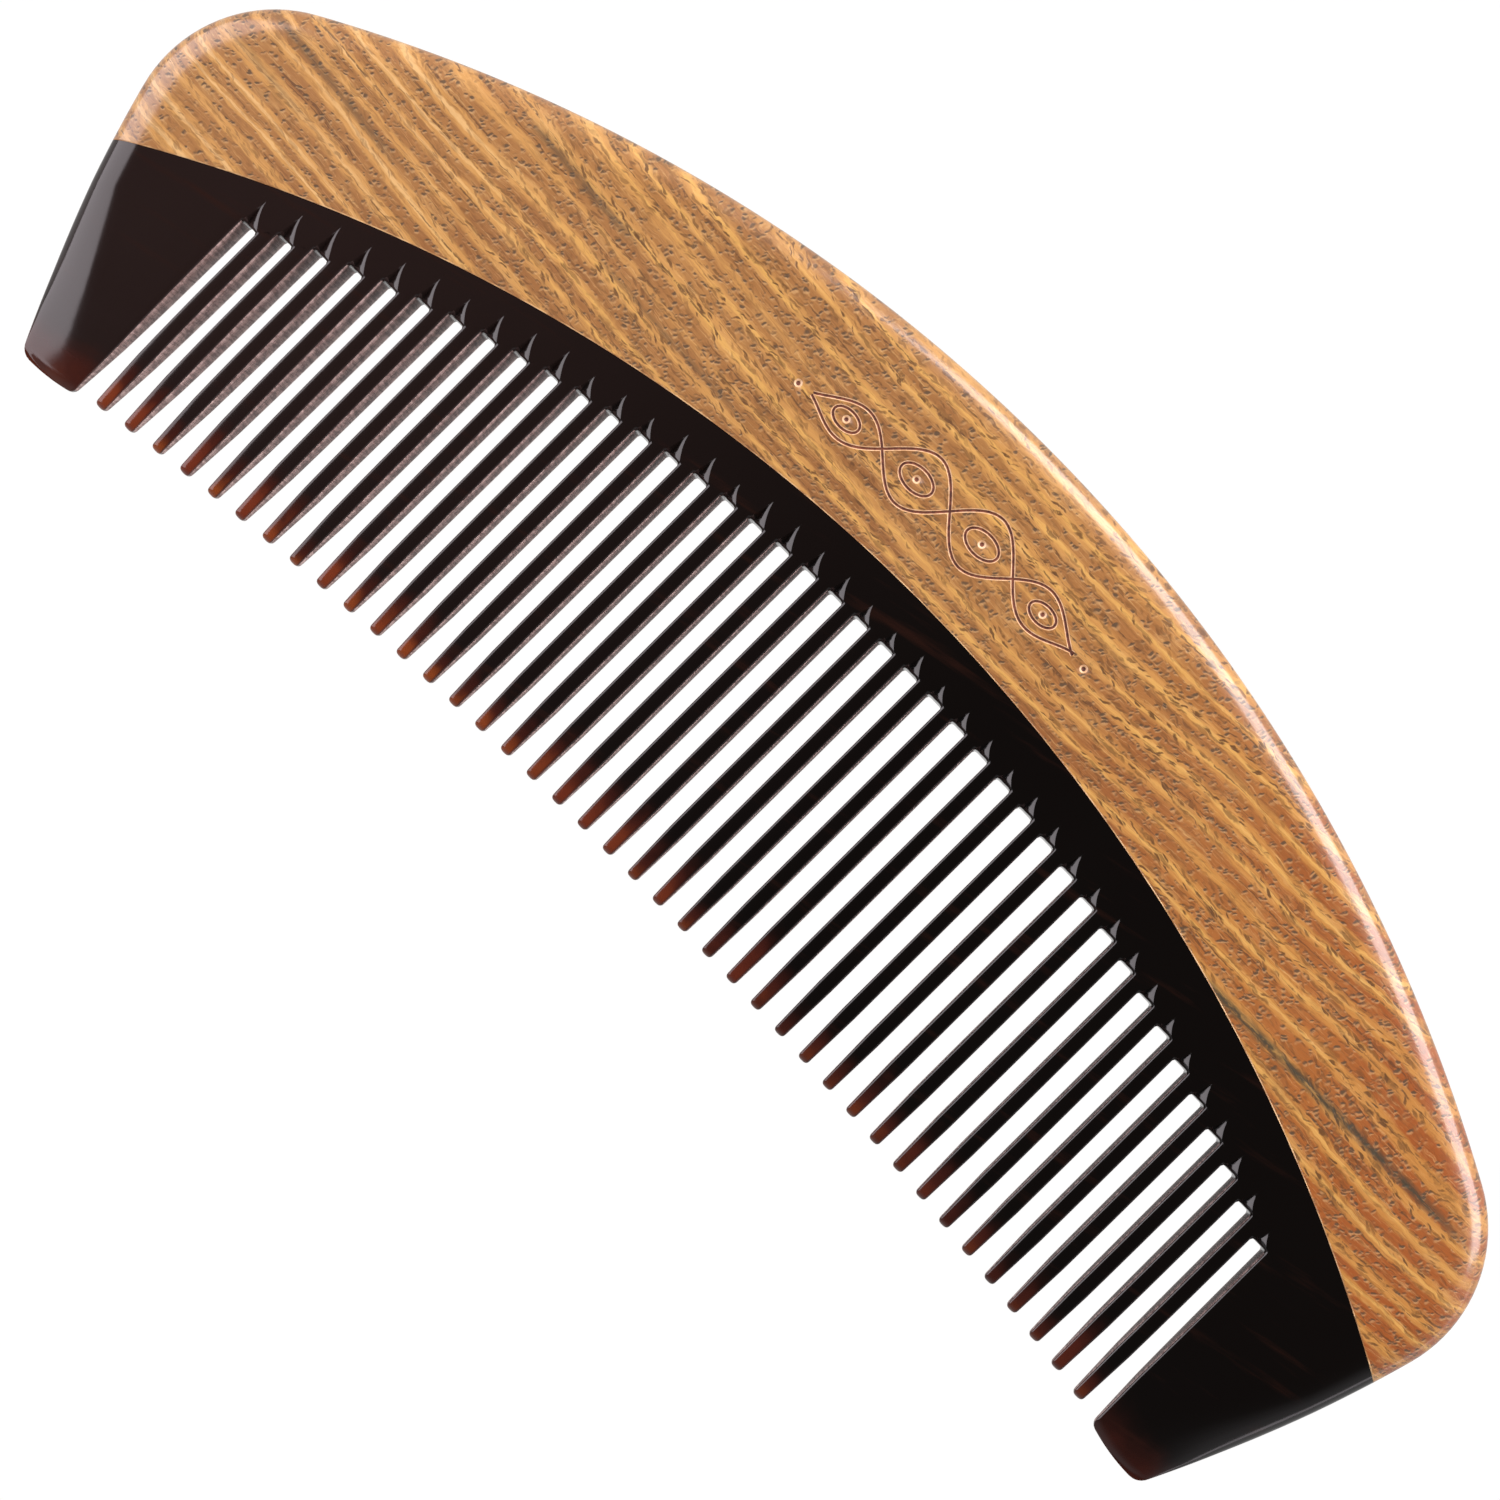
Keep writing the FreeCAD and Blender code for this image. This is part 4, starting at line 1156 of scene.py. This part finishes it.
def link_finish(tree, shader, colour, roughness, relief, strength, distance):
    """Links the three varying values of a finish to its shader. The distance is in millimetres."""
    tree.links.new(colour, shader.inputs["Base Color"])
    tree.links.new(roughness, shader.inputs["Roughness"])
    bump = add(tree, "ShaderNodeBump", {"Height": relief, "Strength": strength, "Distance": distance * MM})
    tree.links.new(bump, shader.inputs["Normal"])


# %% [markdown]
# The spine is a tropical hardwood with a ribbon figure. Golden and brown bands about two and a half
# millimetres wide run along it, and they lean a little at the left end. To draw them, the spot on the wood
# is first moved so that the bands lie straight: along them is X, across them is Y. A slow noise lets them
# wander.

# %% The wood's own directions
BAND_PITCH = 2.5
LEAN_FROM, LEAN_TO = -95.0, 5.0
LEAN_LEFT, LEAN_RIGHT = 0.065, 0.004


def band_lean(tree, x):
    """How much the bands lean at a spot along the comb: a little at the left end, hardly further on."""
    return fade(tree, x, LEAN_FROM, LEAN_TO, LEAN_LEFT, LEAN_RIGHT)


def streak_lean(middle):
    """What that lean adds to the height of a streak that has its middle here."""
    share = min(1.0, max(0.0, (middle - LEAN_FROM) / (LEAN_TO - LEAN_FROM)))
    share = share * share * (3 - 2 * share)
    return (LEAN_LEFT + (LEAN_RIGHT - LEAN_LEFT) * share) * middle


def band_coordinates(tree, spot):
    """The spot on the wood with the bands laid straight."""
    x, y, z = axes(tree, spot)
    across = maths(tree, "MULTIPLY_ADD", band_lean(tree, x), x, y)
    wander = stretched_noise(tree, spot, (0.022, 0.05, 0.05), detail=1.0)
    across = maths(tree, "MULTIPLY_ADD", wander, 5.0, across)
    ripple = stretched_noise(tree, spot, (0.35, 1.0, 0.6), detail=3.0, roughness=0.6)
    across = maths(tree, "MULTIPLY_ADD", ripple, 0.8, across)
    across = maths(tree, "MULTIPLY_ADD", z, 0.35, across)
    return add(tree, "ShaderNodeCombineXYZ", {"X": x, "Y": across, "Z": z})


print("band pitch:", BAND_PITCH, "mm")

# %% [markdown]
# The golden bands carry fine dark dashes that slant one way and then the other, like a feather, because the
# grain is interlocked. The brown bands are full of small curled pores. Both come from scattered points:
# each point's surroundings are stretched and turned, and only what lies near the point is kept. A third
# mask is the pores shifted a little: a painted highlight, where the light would catch their flank.

# %% Grain marks
DASHES = ((14, (0.62, 2.9, 1.0)), (-13, (0.68, 3.1, 1.0)), (3, (0.34, 2.4, 0.8)))
DASH_KIND = {"randomness": 1.0, "wider": 0.20, "edge": (1.25, 0.70), "luck": (0.15, 0.28)}
CURL = (-48, (1.25, 2.5, 0.8))
CURL_KIND = {"randomness": 0.9, "wider": 0.16, "edge": (1.35, 0.55), "luck": (0.08, 0.22)}
FLANK = (-0.13, 0.10, 0.0)


def scattered_marks(group, place, turn, cells, randomness, wider, edge, luck):
    """Short marks round scattered points: turned by some degrees, with this many cells per millimetre."""
    turned = add(group, "ShaderNodeMapping", {"Vector": place, "Rotation": (0, 0, math.radians(turn))})
    turned = add(group, "ShaderNodeVectorMath", {0: turned, 1: cells}, operation="MULTIPLY")
    point = group.nodes.new("ShaderNodeTexVoronoi")
    group.links.new(turned, point.inputs["Vector"])
    point.inputs["Scale"].default_value = 1.0
    point.inputs["Randomness"].default_value = randomness
    chance, width, _ = axes(group, point.outputs["Color"])
    reach = maths(group, "MULTIPLY_ADD", width, wider, 0.26)
    mark = fade(group, maths(group, "DIVIDE", point.outputs["Distance"], reach), *edge)
    return maths(group, "MULTIPLY", mark, fade(group, chance, *luck))


def make_grain_marks():
    """Three masks: slanting dashes, curled pores, and the lit side of the pores."""
    inputs = [("Place", "Vector", None), ("Phase", "Float", 0.0)]
    masks = [(label, "Float", 0.0) for label in ("Dashes", "Curls", "Glints")]
    group, given, result = new_group("grain_marks", inputs, masks)
    place = given.outputs["Place"]
    bent = noise(group, place, 0.8, output="Color")
    bent = add(group, "ShaderNodeVectorMath", {0: bent, 1: (0.9, 0.7, 0.3)}, operation="MULTIPLY")
    bent = add(group, "ShaderNodeVectorMath", {0: place, 1: bent}, operation="ADD")

    # one slant in one half of a band, the other slant in the other half, and a few long dashes all over
    half_phase = maths(group, "MULTIPLY", given.outputs["Phase"], 0.5)
    side = fade(group, maths(group, "COSINE", half_phase), -0.2, 0.2)
    rising, falling, level = [scattered_marks(group, bent, *dash, **DASH_KIND) for dash in DASHES]
    rising = maths(group, "MULTIPLY", rising, side)
    falling = maths(group, "MULTIPLY", falling, maths(group, "SUBTRACT", 1.0, side))
    slanted = maths(group, "ADD", rising, falling)
    dashes = maths(group, "MAXIMUM", slanted, maths(group, "MULTIPLY", level, 0.7))
    group.links.new(dashes, result.inputs["Dashes"])

    beside = add(group, "ShaderNodeVectorMath", {0: bent, 1: FLANK}, operation="ADD")
    curls = scattered_marks(group, bent, *CURL, **CURL_KIND)
    shifted = scattered_marks(group, beside, *CURL, **CURL_KIND)
    group.links.new(curls, result.inputs["Curls"])
    flank = maths(group, "MULTIPLY", shifted, maths(group, "SUBTRACT", 1.0, curls))
    group.links.new(flank, result.inputs["Glints"])
    return group


GRAIN_MARKS = make_grain_marks()
print("group:", GRAIN_MARKS.name, [socket.name for socket in GRAIN_MARKS.interface.items_tree])

# %% [markdown]
# The bands are a sine wave across the grain, upset by drawn-out noise so that no two have the same width.
# They are more regular near the comb's ends than in its middle. A thin bright line runs down the middle of
# many golden bands, and the whole spine is redder towards the right.

# %% Bands
GOLDEN, GOLDEN_RIGHT = srgb(203, 150, 84), srgb(194, 134, 66)
BROWN, BROWN_RIGHT = srgb(150, 100, 56), srgb(160, 86, 36)
GOLD_LINE, GOLD_LINE_LEFT = srgb(226, 176, 96), srgb(232, 190, 130)


def wood_bands(tree, spot, grain):
    """The banded ground colour, and the masks that later layers need: band, phase and left end."""
    x = axes(tree, spot)[0]
    across = axes(tree, grain)[1]
    slow = stretched_noise(tree, grain, (0.012, 0.17, 0.02), detail=1.0)
    phase = maths(tree, "MULTIPLY_ADD", slow, 9.0, maths(tree, "MULTIPLY", across, 2 * math.pi / BAND_PITCH))
    wave = maths(tree, "MULTIPLY_ADD", maths(tree, "SINE", phase), 0.5, 0.5)
    streaks = stretched_noise(tree, grain, (0.02, 0.62, 0.1), detail=4.0, roughness=0.62)
    at_left = fade(tree, x, -45.0, -66.0)
    at_ends = maths(tree, "MAXIMUM", at_left, fade(tree, x, 25.0, 55.0, 0.0, 0.8))
    steady = maths(tree, "MULTIPLY_ADD", at_ends, 0.32, 0.42)
    loose = maths(tree, "MULTIPLY_ADD", at_ends, -0.32, 1.05)
    band = maths(tree, "ADD", maths(tree, "MULTIPLY", wave, steady), maths(tree, "MULTIPLY", streaks, loose))
    band = fade(tree, band, 0.54, 0.88)
    calm = fade(tree, noise(tree, spot, 0.03, detail=1.0), 0.42, 0.6)
    band = maths(tree, "MULTIPLY", band, maths(tree, "MULTIPLY_ADD", calm, -0.25, 1.0))

    golden = mix_colours(tree, fade(tree, x, -10.0, 60.0), GOLDEN, GOLDEN_RIGHT)
    brown = mix_colours(tree, fade(tree, x, 0.0, 70.0), BROWN, BROWN_RIGHT)
    colour = mix_colours(tree, band, golden, brown)
    gold = fade(tree, maths(tree, "SINE", phase), -0.80, -0.98)
    gold = maths(tree, "MULTIPLY", gold, fade(tree, streaks, 0.62, 0.45, 0.0, 0.75))
    colour = mix_colours(tree, gold, colour, mix_colours(tree, at_left, GOLD_LINE, GOLD_LINE_LEFT))
    return colour, band, phase, at_left


print("bands from", [round(c, 2) for c in GOLDEN[:3]], "to", [round(c, 2) for c in BROWN[:3]])

# %% [markdown]
# Over the bands lie cloudy patches, fibres finer than a hair, and thin dark lines that run a long way and
# break off now and then. Each is one more mask, and each mask darkens or lightens the colour below it.

# %% Clouds, fibres and long lines
DARK_CLOUD, LIGHT_CLOUD = srgb(150, 100, 56), srgb(216, 168, 104)
DARK_FIBRE, LIGHT_FIBRE = srgb(120, 76, 42), srgb(232, 190, 128)
LONG_LINE = srgb(92, 60, 38)


def wood_fibres(tree, spot, grain, colour):
    """Adds clouds, fibres and long lines, and returns the colour with the masks of fibres and of breaks."""
    cloud = stretched_noise(tree, grain, (0.16, 0.55, 0.3), detail=4.0, roughness=0.65)
    colour = mix_colours(tree, fade(tree, cloud, 0.52, 0.72, 0.0, 0.45), colour, DARK_CLOUD)
    colour = mix_colours(tree, fade(tree, cloud, 0.46, 0.28, 0.0, 0.45), colour, LIGHT_CLOUD)
    fibres = stretched_noise(tree, grain, (0.22, 6.0, 3.0), detail=4.0, roughness=0.75)
    colour = mix_colours(tree, fade(tree, fibres, 0.50, 0.74, 0.0, 0.62), colour, DARK_FIBRE)
    colour = mix_colours(tree, fade(tree, fibres, 0.47, 0.26, 0.0, 0.55), colour, LIGHT_FIBRE)
    lines = stretched_noise(tree, grain, (0.035, 2.6, 0.8), detail=2.0, roughness=0.55)
    broken = noise(tree, spot, 0.9, detail=3.0, roughness=0.7)
    long_line = maths(tree, "MULTIPLY", fade(tree, lines, 0.60, 0.66), fade(tree, broken, 0.40, 0.52))
    colour = mix_colours(tree, maths(tree, "MULTIPLY", long_line, 0.75), colour, LONG_LINE)
    return colour, fibres, broken


# %% [markdown]
# The marks go where the bands allow them. Dashes crowd together in some places and are scarce in others,
# and the left end has fewer of them. A pore is dark, with a painted highlight on the flank beside it.

# %% Dashes and pores
DASH_COLOUR = srgb(98, 64, 34)
PORE_COLOUR = srgb(88, 66, 42)
PORE_FLANK_HIGHLIGHT = srgb(222, 180, 126)


def wood_marks(tree, grain, bands, broken, colour):
    """Puts dashes into the golden bands and curled pores into the brown ones, with a painted highlight beside
    each pore.
    """
    band, phase, at_left = bands
    dashes, curls, glints = place_group(tree, GRAIN_MARKS, Place=grain, Phase=phase)
    crowd = stretched_noise(tree, grain, (0.06, 0.40, 0.1), detail=3.0, roughness=0.6)
    dash = maths(tree, "MULTIPLY", dashes, fade(tree, crowd, 0.34, 0.54, 0.35, 1.0))
    dash = maths(tree, "MULTIPLY", dash, fade(tree, broken, 0.30, 0.46, 0.3, 1.0))
    dash = maths(tree, "MULTIPLY", dash, maths(tree, "MULTIPLY_ADD", band, -0.45, 0.92))
    dash = maths(tree, "MULTIPLY", dash, maths(tree, "MULTIPLY_ADD", at_left, -0.5, 1.0))
    colour = mix_colours(tree, dash, colour, DASH_COLOUR)
    curly = maths(tree, "MULTIPLY", fade(tree, band, 0.10, 0.50), fade(tree, broken, 0.32, 0.5, 0.45, 1.0))
    curls = maths(tree, "MULTIPLY", curls, curly)
    colour = mix_colours(tree, maths(tree, "MULTIPLY", curls, 0.92), colour, PORE_COLOUR)
    glints = maths(tree, "MULTIPLY", glints, curly)
    # painted highlight: the lit flank of each pore is painted paler
    colour = mix_colours(tree, maths(tree, "MULTIPLY", glints, 0.40), colour, PORE_FLANK_HIGHLIGHT)
    return colour, dash, curls


# %% [markdown]
# Minerals that the tree took up have left a few grey streaks. There is a long one low on the right, and
# fainter ones elsewhere, and all of them follow the bands and are torn at their edges.

# %% Mineral streaks
MINERAL = srgb(70, 64, 50)
# middle, half length, height above the seam's middle, half width, strength
MINERAL_STREAKS = [(64.0, 22.0, -6.6, 0.80, 1.0),
                   (-50.0, 9.5, 5.4, 0.75, 0.60),
                   (-74.0, 11.0, -5.2, 0.8, 0.50),
                   (-33.0, 13.0, 0.6, 0.45, 0.45),
                   (28.0, 16.0, 9.5, 0.45, 0.25),
                   (-80.0, 7.0, -9.0, 0.6, 0.40)]


def wood_minerals(tree, spot, grain, colour):
    """Adds the streaks, each in its place along and across the bands."""
    x, y, _ = axes(tree, spot)
    straight = maths(tree, "MULTIPLY_ADD", band_lean(tree, x), x, y)
    ragged = stretched_noise(tree, grain, (0.45, 1.9, 0.5), detail=4.0, roughness=0.7)
    torn = fade(tree, ragged, 0.38, 0.56, 0.45, 1.0)
    for middle, half_length, height, half_width, strength in MINERAL_STREAKS:
        height += SEAM.y + SEAM_RADIUS + streak_lean(middle)
        off = maths(tree, "ABSOLUTE", maths(tree, "SUBTRACT", straight, height))
        off = maths(tree, "MULTIPLY_ADD", ragged, 1.4, maths(tree, "SUBTRACT", off, 0.7))
        inside = maths(tree, "MULTIPLY", fade(tree, off, half_width, half_width * 0.1), torn)
        along = maths(tree, "ABSOLUTE", maths(tree, "SUBTRACT", x, middle))
        ends = fade(tree, along, half_length, half_length * 0.6)
        mark = maths(tree, "MULTIPLY", maths(tree, "MULTIPLY", inside, ends), strength)
        colour = mix_colours(tree, mark, colour, MINERAL)
    return colour


print("mineral streaks:", len(MINERAL_STREAKS))

# %% [markdown]
# The layers are put together, and a coat of hard wax goes on top. The wax fills the pores only in part, so
# the pores, the dashes and the fibres can still be felt: they make the relief. Wax also deepens the colour.

# %% Ribbon wood
UNDER_WAX = (0.85, 0.84, 0.80, 1.0)


def ribbon_wood():
    """The waxed hardwood of the spine."""
    material, tree, shader, spot = new_finish("ribbon_wood")
    grain = band_coordinates(tree, spot)
    colour, *bands = wood_bands(tree, spot, grain)
    colour, fibres, broken = wood_fibres(tree, spot, grain, colour)
    colour, dash, curls = wood_marks(tree, grain, bands, broken, colour)
    colour = wood_minerals(tree, spot, grain, colour)
    colour = mix_colours(tree, 1.0, colour, UNDER_WAX, blend="MULTIPLY")
    smears, scratches = place_group(tree, POLISH, Place=spot)
    gloss = maths(tree, "MULTIPLY_ADD", smears, 0.16, 0.32)
    relief = maths(tree, "MULTIPLY_ADD", curls, -0.7, maths(tree, "MULTIPLY", scratches, 0.3))
    relief = maths(tree, "MULTIPLY_ADD", dash, -0.6, relief)
    relief = maths(tree, "MULTIPLY_ADD", fibres, -0.5, relief)
    link_finish(tree, shader, colour, maths(tree, "MULTIPLY_ADD", curls, 0.15, gloss), relief, 0.45, 0.06)
    shader.inputs["IOR"].default_value = 1.5
    shader.inputs["Coat Weight"].default_value = 0.9
    shader.inputs["Coat Roughness"].default_value = 0.17
    return material


# %% [markdown]
# The ornament is burnt into the wood with a hot point. Its bottom is scorched dark reddish brown, and the
# rim on both sides is painted pale, as a painted highlight on the sloping sides of the cut. The two colours
# are two finishes, and each is broken up by a little noise.

# %% Scorched line and painted highlight on the rim
def burnt_and_highlit_wood(name, dark, light):
    """Wood that has met the hot point, or the pale painted highlight on the rim of a cut."""
    material, tree, shader, spot = new_finish(name)
    patches = noise(tree, spot, 1.6, detail=4.0, roughness=0.7)
    colour = mix_colours(tree, fade(tree, patches, 0.36, 0.66), dark, light)
    smears = place_group(tree, POLISH, Place=spot)[0]
    link_finish(tree, shader, colour, maths(tree, "MULTIPLY_ADD", smears, 0.3, 0.40), patches, 0.3, 0.05)
    return material


# %% [markdown]
# Only now is the spine made, because the cuts of the ornament need their finishes: a face that a tool
# leaves behind takes that tool's material.

# %% Engraved spine
wood = ribbon_wood()
# the rim's pale finish is a painted highlight, not a colour of the wood
rim_highlight = burnt_and_highlit_wood("painted_rim_highlight", srgb(206, 158, 112), srgb(236, 200, 160))
scorched = burnt_and_highlit_wood("scorched_line", srgb(74, 34, 24), srgb(126, 68, 44))
spine = finish_mesh(cut_ornament(make_spine(), wood, rim_highlight, scorched), "engraved_spine")

# %% [markdown]
# Buffalo horn is nearly black where it is thick. Towards the tooth tips and the feet it is thin enough for
# light to come through, and there it glows brown and amber, more in some teeth than in others. The glow is
# painted light: a base colour laid on by the height above the line of the tips, shifted a little from tooth
# to tooth.

# %% Glow of thin horn
def tooth_luck(tree, x):
    """Where x falls in its pitch, a random number for each tooth, and whether the spot is in a guard."""
    from_slot = maths(tree, "DIVIDE", maths(tree, "SUBTRACT", x, SLOT_SHIFT), PITCH)
    tooth = maths(tree, "FLOOR", from_slot)
    luck = add(tree, "ShaderNodeTexWhiteNoise", {"W": tooth}, output="Value", noise_dimensions="1D")
    in_guard = fade(tree, maths(tree, "ABSOLUTE", from_slot), SLOTS / 2 - 0.5, SLOTS / 2 - 0.4)
    luck = maths(tree, "MULTIPLY_ADD", maths(tree, "SUBTRACT", 0.35, luck), in_guard, luck)
    return from_slot, luck, in_guard


def horn_glow(tree, spot, from_slot, luck, in_guard):
    """How much light comes through: most in the middle of a tip, less along its edges and at the right."""
    x, y, _ = axes(tree, spot)
    below = maths(tree, "SUBTRACT", y, TIP_CENTRE_Y)
    squares = maths(tree, "ADD", maths(tree, "MULTIPLY", x, x), maths(tree, "MULTIPLY", below, below))
    height = maths(tree, "SUBTRACT", maths(tree, "SQRT", squares), TIP_RADIUS)
    cloud = noise(tree, spot, 0.25, detail=3.0)
    shifted = maths(tree, "MULTIPLY_ADD", maths(tree, "SUBTRACT", luck, 0.5), 3.0, height)
    shifted = maths(tree, "MULTIPLY_ADD", maths(tree, "SUBTRACT", cloud, 0.5), 5.0, shifted)
    shifted = maths(tree, "MULTIPLY_ADD", in_guard, 1.2, shifted)
    glow = fade(tree, shifted, 6.6, -0.9)
    from_middle = maths(tree, "ABSOLUTE", maths(tree, "SUBTRACT", maths(tree, "FRACT", from_slot), 0.5))
    rim = fade(tree, from_middle, 0.10, 0.22, 1.0, 0.35)
    rim = maths(tree, "MULTIPLY_ADD", maths(tree, "SUBTRACT", 0.58, rim), in_guard, rim)
    return maths(tree, "MULTIPLY", glow, maths(tree, "MULTIPLY", rim, fade(tree, x, -60.0, 60.0, 1.0, 0.62)))


# %% [markdown]
# The saw has left fine lines across the walls of the slots, which were never polished like the faces. Their
# pale pinkish colour is partly their own and partly painted light from the table below. A wall is told from
# a face by the direction it looks in.

# %% Sawn walls
# the pale saw colours are partly painted light from the table below
SAWN_DARK, SAWN_LIGHT, SAWN_STRIPE = srgb(130, 102, 98), srgb(206, 180, 174), srgb(48, 34, 32)
WALLS_END = 73.0


def sawn_walls(tree, spot):
    """Where the sawn walls are, their colour, partly painted light, and the lines that the saw has left."""
    x = axes(tree, spot)[0]
    normal = add(tree, "ShaderNodeNewGeometry", output="Normal")
    facing = maths(tree, "ABSOLUTE", axes(tree, normal)[0])
    from_middle = maths(tree, "ABSOLUTE", maths(tree, "SUBTRACT", x, SLOT_SHIFT))
    inside = maths(tree, "MULTIPLY", fade(tree, facing, 0.88, 0.98),
                   fade(tree, from_middle, WALLS_END + 0.2, WALLS_END - 0.2))
    lines = stretched_noise(tree, spot, (0.1, 2.4, 0.22), detail=3.0, roughness=0.7)
    stripes = stretched_noise(tree, spot, (0.1, 0.12, 2.2), detail=2.0)
    saw = mix_colours(tree, fade(tree, lines, 0.36, 0.64), SAWN_DARK, SAWN_LIGHT)
    saw = mix_colours(tree, fade(tree, stripes, 0.52, 0.70, 0.0, 0.5), saw, SAWN_STRIPE)
    return inside, saw, lines


# %% [markdown]
# The horn itself is black-brown, a little paler at the left, with a few faint reddish streaks. It was
# buffed to a high gloss, and its sawn walls stay dull.

# %% Dark horn
HORN_LEFT, HORN_RIGHT, HORN_STREAK = srgb(32, 22, 20), srgb(9, 6, 5), srgb(44, 22, 15)
GLOW_RED, GLOW_AMBER, GLOW_BRIGHT_AMBER = srgb(58, 24, 17), srgb(104, 44, 26), srgb(150, 74, 30)


def dark_horn():
    """The polished horn of the plate, with its glowing tips and sawn walls."""
    material, tree, shader, spot = new_finish("dark_horn")
    x = axes(tree, spot)[0]
    from_slot, luck, in_guard = tooth_luck(tree, x)
    glow = horn_glow(tree, spot, from_slot, luck, in_guard)
    streak = stretched_noise(tree, spot, (0.05, 0.5, 0.3), turn=-12, detail=4.0, roughness=0.6)
    black = mix_colours(tree, fade(tree, x, -85.0, 20.0), HORN_LEFT, HORN_RIGHT)
    ground = mix_colours(tree, fade(tree, streak, 0.56, 0.78, 0.0, 0.5), black, HORN_STREAK)
    # painted light: the glow of thin horn is laid into the base colour
    colour = mix_colours(tree, fade(tree, glow, 0.0, 0.5), ground, GLOW_RED)
    amber = mix_colours(tree, luck, GLOW_AMBER, GLOW_BRIGHT_AMBER)
    colour = mix_colours(tree, fade(tree, glow, 0.4, 1.0), colour, amber)

    inside, saw, lines = sawn_walls(tree, spot)
    # the sawn colour is laid on less towards the right: painted light on the walls at the left, painted shade
    # on those at the right
    sawn = maths(tree, "MULTIPLY", inside, fade(tree, x, -40.0, 60.0, 0.95, 0.55))
    colour = mix_colours(tree, sawn, colour, saw)
    smears, scratches = place_group(tree, POLISH, Place=spot)
    gloss = maths(tree, "MULTIPLY_ADD", smears, 0.10, 0.08)
    rough = maths(tree, "MULTIPLY_ADD", lines, 0.2, 0.50)
    roughness = maths(tree, "ADD", maths(tree, "MULTIPLY", gloss, maths(tree, "SUBTRACT", 1.0, inside)),
                      maths(tree, "MULTIPLY", rough, inside))
    relief = maths(tree, "MULTIPLY", maths(tree, "MULTIPLY", lines, inside), 1.6)
    relief = maths(tree, "MULTIPLY_ADD", scratches, 0.10, relief)
    link_finish(tree, shader, colour, roughness, relief, 0.4, 0.05)
    shader.inputs["IOR"].default_value = 1.55
    return material


# %% [markdown]
# The glue has dried to a hair-thin line of honey colour. The frame's glue line stops at the sharp outline
# of the blank, but on the comb its ends were sanded away with the rounded edges of the wood and the horn.
# So a copy of it is merged, cut finer at both ends, and brought down to the same rounding.

# %% Glue, sanded flush
GLUE_MERGE = 0.0005
GLUE_ENDS_FROM = 70
LONG_EDGE = 0.5
BELOW_FACE = 0.01
INSIDE_SIDE = 0.02


def sanded_glue():
    """A copy of the frame's glue line with its ends brought down to the comb's rounded edge."""
    shape = bmesh.new()
    shape.from_mesh(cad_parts["glue_line"].data)
    bmesh.ops.scale(shape, verts=shape.verts, vec=(1 / MM, 1 / MM, 1 / MM))
    bmesh.ops.remove_doubles(shape, verts=shape.verts, dist=GLUE_MERGE)
    for _ in range(2):
        ends = [edge for edge in shape.edges if edge.calc_length() > LONG_EDGE
                and min(abs(vertex.co.x) for vertex in edge.verts) > GLUE_ENDS_FROM]
        bmesh.ops.subdivide_edges(shape, edges=ends, cuts=2)
    for vertex in shape.verts:
        x, y, z = vertex.co
        side = side_x(y)
        limit = half_thickness(x, y) - edge_drop(max(0.0, side - abs(x)), EDGE_WIDE, EDGE_DEEP) - BELOW_FACE
        vertex.co.z = MIDDLE_Z + max(-limit, min(limit, z - MIDDLE_Z))
        vertex.co.x = math.copysign(min(abs(x), side - INSIDE_SIDE), x)
    bmesh.ops.triangulate(shape, faces=shape.faces)
    return finish_mesh(shape, "sanded_glue_line")


def honey_glue():
    """Dried glue."""
    material, tree, shader, spot = new_finish("honey_glue")
    blotch = noise(tree, spot, 0.5, detail=3.0)
    colour = mix_colours(tree, fade(tree, blotch, 0.35, 0.65), srgb(150, 104, 62), srgb(204, 166, 118))
    smears, scratches = place_group(tree, POLISH, Place=spot)
    link_finish(tree, shader, colour, maths(tree, "MULTIPLY_ADD", smears, 0.2, 0.2), scratches, 0.2, 0.02)
    return material


glue = sanded_glue()

# %% [markdown]
# Last, each piece gets its finishes, the solid of the frame that it stands for is hidden, and the piece
# is put on the body it rides on.

# %% Dressing the comb
def dress(piece, materials, node):
    """Gives a piece its finishes, hides the solid of the frame that it stands for, and puts the piece on the
    root body.
    """
    for material in materials:
        piece.data.materials.append(material)
    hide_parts(node)
    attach(piece, "root")
    print(piece.name, "wears", [material.name for material in materials])


dress(spine, [wood, rim_highlight, scorched], "wood_spine")
dress(horn, [dark_horn()], "horn_tooth_plate")
dress(glue, [honey_glue()], "glue_line")
